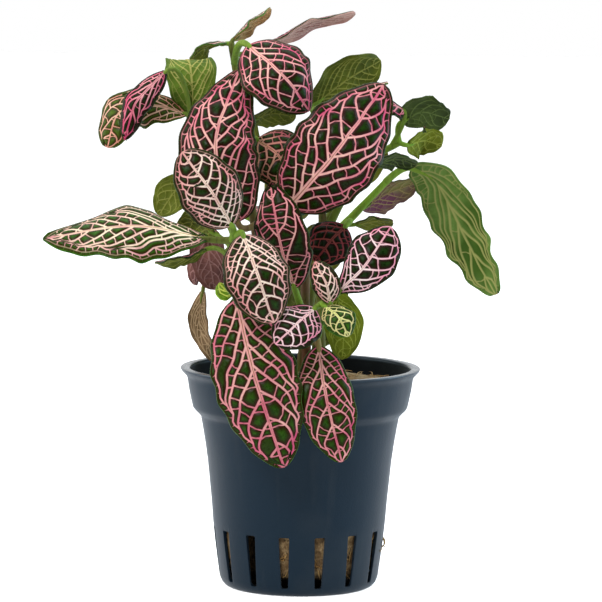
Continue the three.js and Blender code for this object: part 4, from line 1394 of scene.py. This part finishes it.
mediumForm = {
    "rings": [
        (0.8, 1.66), (8, 1.66), (13.6, 1.66), (14.2, 3.2), (17.4, 4.6), (18.15, 8), (18.95, 14),
        (19.85, 25), (21.2, 38.8), (22, 42), (23.3, 45.5), (22.6, 47.2), (20, 47.9), (16, 47.8),
        (12, 47.9), (8, 47.8), (4, 47.9), (0.8, 47.9),
    ],
    "segments": 120,
    "lump": 0.28,
    "hollowTurn": math.radians(-130),  # behind one slot, where the medium has sunk away
    "hollowHeight": 12,
    "hollowDepth": 5,
    "hollowSlot": 13,
    "tuftSlot": 3,
    "tuftHeight": 10.2,
    "tuftDepth": 2.2,
    "slotStrands": (10, 18),  # in a plain slot and in the one with the tuft
    "slotReach": (17.05, 17.4),  # where they start and end, at the height of the pot's foot
    "slotLean": 0.115,  # how fast the wall goes outwards with the height
    "strands": 420,
    "strandReach": 22.3,
    "strandHeights": (47.4, 48.15),
    "strandRadii": (0, 0.09, 0.1, 0.1, 0.08, 0),
    "slotStrandRadii": (0, 0.1, 0.12, 0.12, 0.09, 0),
}


def makeMediumMaterials():
    group, given = newGroup("coir", ("Tan", "Brown", "Dark"))
    shade = (0.006, 0.004, 0.003, 1)
    height = heightAt(group)
    lumps = noiseAt(group, 420, 4, roughness=0.7)
    fibre = noiseAt(group, 1600, 3, stretch=(1, 0.25, 0.6), roughness=0.7)
    color = tinted(group, given["Brown"], given["Tan"], lumps, 0.4, 0.62)
    color = tinted(group, color, given["Dark"], fibre, 0.5, 0.72, 0, 0.85)
    color = tinted(group, color, shade, height, 0.0035, 0.006, 1, 0)
    color = tinted(group, color, (0.62, 0.46, 0.27, 1), height, 0.044, 0.047, 0, 0.4)
    # painted shade: the hollow behind one slot is darkened to the shade colour
    color = mixColors(group, valueOf(group, "hollow"), color, shade)
    rough = mapValue(group, fibre, 0.3, 0.7, 0.8, 0.95)
    finishedGroup(group, color, rough, calculate(group, "ADD", lumps, fibre))
    plug = {"Tan": "#a58a62", "Brown": "#6f5638", "Dark": "#2a1f14"}
    strand = {"Tan": "#c9a468", "Brown": "#9a7340", "Dark": "#6a4b28"}
    return (
        newMaterial("growing medium", group, plug, {"Specular IOR Level": 0.2}, 0.0003),
        newMaterial("coir strand", group, strand, {"Specular IOR Level": 0.25}, 0.0001),
    )


# Roughens the plug, and sinks it behind one slot; the sunk part is also marked for painted shade
def roughenPlug(plug):
    hollow = plug.data.attributes.new("hollow", "FLOAT", "POINT")
    for vert in plug.data.vertices:
        place = vert.co / mm
        if place.z < 2.5:
            continue
        lump = noise.noise(place * 0.45) + 0.6 * noise.noise(place * 1.3)
        out = Vector((place.x, place.y, 0)).normalized()
        if place.z > 46:
            vert.co.z += (lump * 0.5 - 0.35) * mediumForm["lump"] * mm * 1.6
            continue
        vert.co += out * (lump * 0.5 - 0.6) * mediumForm["lump"] * mm
        turn = math.atan2(place.y, place.x) - mediumForm["hollowTurn"]
        above = max(place.z - mediumForm["hollowHeight"], 0) / 5
        sunk = math.exp(-(math.hypot(math.remainder(turn, 2 * math.pi) / 0.2, above) ** 4))
        hollow.data[vert.index].value = sunk
        vert.co -= out * mediumForm["hollowDepth"] * mm * sunk


def strandPoints(draw, start, heading, length, curl):
    points = [np.array(start, float)]
    heading = unit(np.array(heading, float))
    for _ in range(5):
        heading = unit(heading + np.array([draw.uniform(-curl, curl) for _ in range(3)]))
        points.append(points[-1] + heading * length / 5)
    return points


def addTopStrands(gathering, draw):
    most = mediumForm["strandReach"]
    for _ in range(mediumForm["strands"]):
        angle = draw.uniform(0, 2 * math.pi)
        reach = 20.5 * math.sqrt(draw.uniform(0.02, 1))
        start = (reach * math.cos(angle), reach * math.sin(angle), 47.6)
        turn = draw.uniform(0, 2 * math.pi)
        heading = (math.cos(turn), math.sin(turn), 0.1)
        points = strandPoints(draw, start, heading, draw.uniform(3, 7), 0.3)
        for point in points:
            point[2] = limit(point[2], *mediumForm["strandHeights"])
            far = math.hypot(point[0], point[1])
            if far > most:
                point[:2] *= most / far
        addTube(gathering, points, mediumForm["strandRadii"], 0, 4)


# Strands lie in the mouth of each slot, and in one slot a thicker tuft sticks out
def addSlotStrands(gathering, draw):
    (innerReach, outerReach), lean = mediumForm["slotReach"], mediumForm["slotLean"]
    for index in range(potForm["slotCount"]):
        angle = slotAngle(index) - math.pi / 2
        tuft = index == mediumForm["tuftSlot"]
        count = mediumForm["slotStrands"][tuft]
        for _ in range(0 if index == mediumForm["hollowSlot"] else count):
            height = draw.uniform(8, 12.5) if tuft else draw.uniform(5, 13.4)
            reach = innerReach + height * lean
            turn = angle + draw.uniform(-0.05, 0.05)
            start = (reach * math.cos(turn), reach * math.sin(turn), height)
            across = draw.uniform(-1, 1) * (0.4 if tuft else 1)
            heading = (-math.sin(angle) * across, math.cos(angle) * across, draw.uniform(-1.2, 1.2))
            points = strandPoints(draw, start, heading, draw.uniform(2, 4.5), 0.5)
            for point in points:
                most = outerReach + point[2] * lean
                if tuft:
                    away = (point[2] - mediumForm["tuftHeight"]) / 1.8
                    most += mediumForm["tuftDepth"] * math.exp(-(away**2))
                far = math.hypot(point[0], point[1])
                point[:2] *= limit(far, most - 0.8, most) / far
            radii = np.array(mediumForm["slotStrandRadii"]) * (1.4 if tuft else 1)
            addTube(gathering, points, radii, 0, 4)


def makeMedium():
    plug = turnRings("growing_medium_look", mediumForm["rings"], mediumForm["segments"])
    applyModifier(plug, "SUBSURF", levels=1, render_levels=1, subdivision_type="SIMPLE")
    roughenPlug(plug)
    activate(plug)
    bpy.ops.object.shade_smooth()
    plugMaterial, strandMaterial = makeMediumMaterials()
    plug.data.materials.append(plugMaterial)
    draw = random.Random(11)
    gathering = newGathering()
    addTopStrands(gathering, draw)
    addSlotStrands(gathering, draw)
    strands = gatheredMesh("coir_strands", gathering, [strandMaterial])
    for piece in (plug, strands):
        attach(piece, "root")
        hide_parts("growing_medium")


makeMedium()
print("growing medium made")


# Stage, lights and camera

stageForm = {
    "surround": 0.22,
    "backdrop": 1.0,
    "floorFill": 2.9,
    "softboxes": [  # name, place, aim, size, energy and colour
        ("left", (-0.85, 0.05, 0.4), (0, 0, 0.05), (0.6, 1.0), 5, (1, 0.98, 0.95)),
        ("right", (0.85, 0.1, 0.35), (0, 0, 0.05), (0.6, 1.0), 8, (0.6, 0.84, 1)),
        ("top", (0, 0.1, 1.15), (0, 0, 0), (1.0, 1.0), 8, (1, 1, 1)),
        ("front", (-0.45, -1.0, 0.9), (0, 0, 0.08), (0.45, 0.45), 9, (1, 1, 1)),
    ],
    "camera": (0, -0.9, 0.16),
    "cameraAim": (0, 0, 0.0663),
    "cameraRoll": math.radians(0.5),
    "cameraLens": 3919 / 602 * 36,  # focal length over picture width, both in pixels, by sensor width
}


def addObject(name, data):
    made = bpy.data.objects.new(name, data)
    bpy.context.scene.collection.objects.link(made)
    return made


def aimed(place, aim):
    return (Vector(aim) - Vector(place)).to_track_quat("-Z", "Y")


def makeStage():
    clearSelection()
    bpy.ops.mesh.primitive_plane_add(size=6)
    floor = bpy.context.object
    floor.name = "floor"
    material = bpy.data.materials.new("pale floor")
    material.use_nodes = True
    tree = material.node_tree
    surface = tree.nodes["Principled BSDF"].inputs
    surface["Roughness"].default_value = 0.9
    surface["Specular IOR Level"].default_value = 0
    # Less light bounces up from the floor than the eye sees
    seen = addNode(tree, "LightPath").outputs["Is Camera Ray"]
    color = mixColors(tree, seen, (0.42, 0.43, 0.45, 1), (0.93, 0.94, 0.95, 1))
    tree.links.new(color, surface["Base Color"])
    floor.data.materials.append(material)
    fill = bpy.data.lights.new("floor fill", "SUN")  # keeps the floor white as far as the eye sees
    fill.energy = stageForm["floorFill"]
    fill.use_shadow = False
    lit = bpy.data.collections.new("floor only")
    lit.objects.link(floor)
    addObject("floor fill", fill).light_linking.receiver_collection = lit


def addSoftbox(name, place, aim, size, energy, color):
    light = bpy.data.lights.new(name, "AREA")
    light.shape = "RECTANGLE"
    light.size, light.size_y = size
    light.energy = energy
    light.color = color
    lamp = addObject(name, light)
    lamp.location = place
    lamp.rotation_euler = aimed(place, aim).to_euler()


def makeCamera():
    camera = bpy.data.cameras.new("camera")
    camera.sensor_width = 36
    camera.lens = stageForm["cameraLens"]
    camera.clip_end = 20
    holder = addObject("camera", camera)
    holder.location = stageForm["camera"]
    roll = Quaternion((0, 0, 1), stageForm["cameraRoll"])
    holder.rotation_euler = (aimed(stageForm["camera"], stageForm["cameraAim"]) @ roll).to_euler()
    bpy.context.scene.camera = holder


# The camera sees a white studio, and the plant is lit by its softboxes and a dimmer surround
def makeWorld():
    world = bpy.data.worlds.new("studio")
    bpy.context.scene.world = world
    world.use_nodes = True
    tree = world.node_tree
    background = tree.nodes["Background"].inputs
    background["Color"].default_value = (1, 1, 1, 1)
    path = addNode(tree, "LightPath").outputs
    toward = addNode(tree, "SeparateXYZ", {"Vector": addNode(tree, "TexCoord").outputs["Generated"]})
    dim, bright = stageForm["surround"], stageForm["backdrop"]
    mirrored = mapValue(tree, toward.outputs["Y"], 0.0, 0.7, dim, bright)
    mirrored = calculate(tree, "MULTIPLY", path["Is Glossy Ray"], mirrored)
    diffuse = calculate(tree, "SUBTRACT", 1.0, path["Is Glossy Ray"])
    others = calculate(tree, "ADD", mirrored, calculate(tree, "MULTIPLY", diffuse, dim))
    strength = calculate(tree, "MAXIMUM", path["Is Camera Ray"], others)
    tree.links.new(strength, background["Strength"])


makeWorld()
makeStage()
for softbox in stageForm["softboxes"]:
    addSoftbox(*softbox)
makeCamera()
bpy.context.scene.view_settings.view_transform = "Standard"
print("stage, lights and camera made")
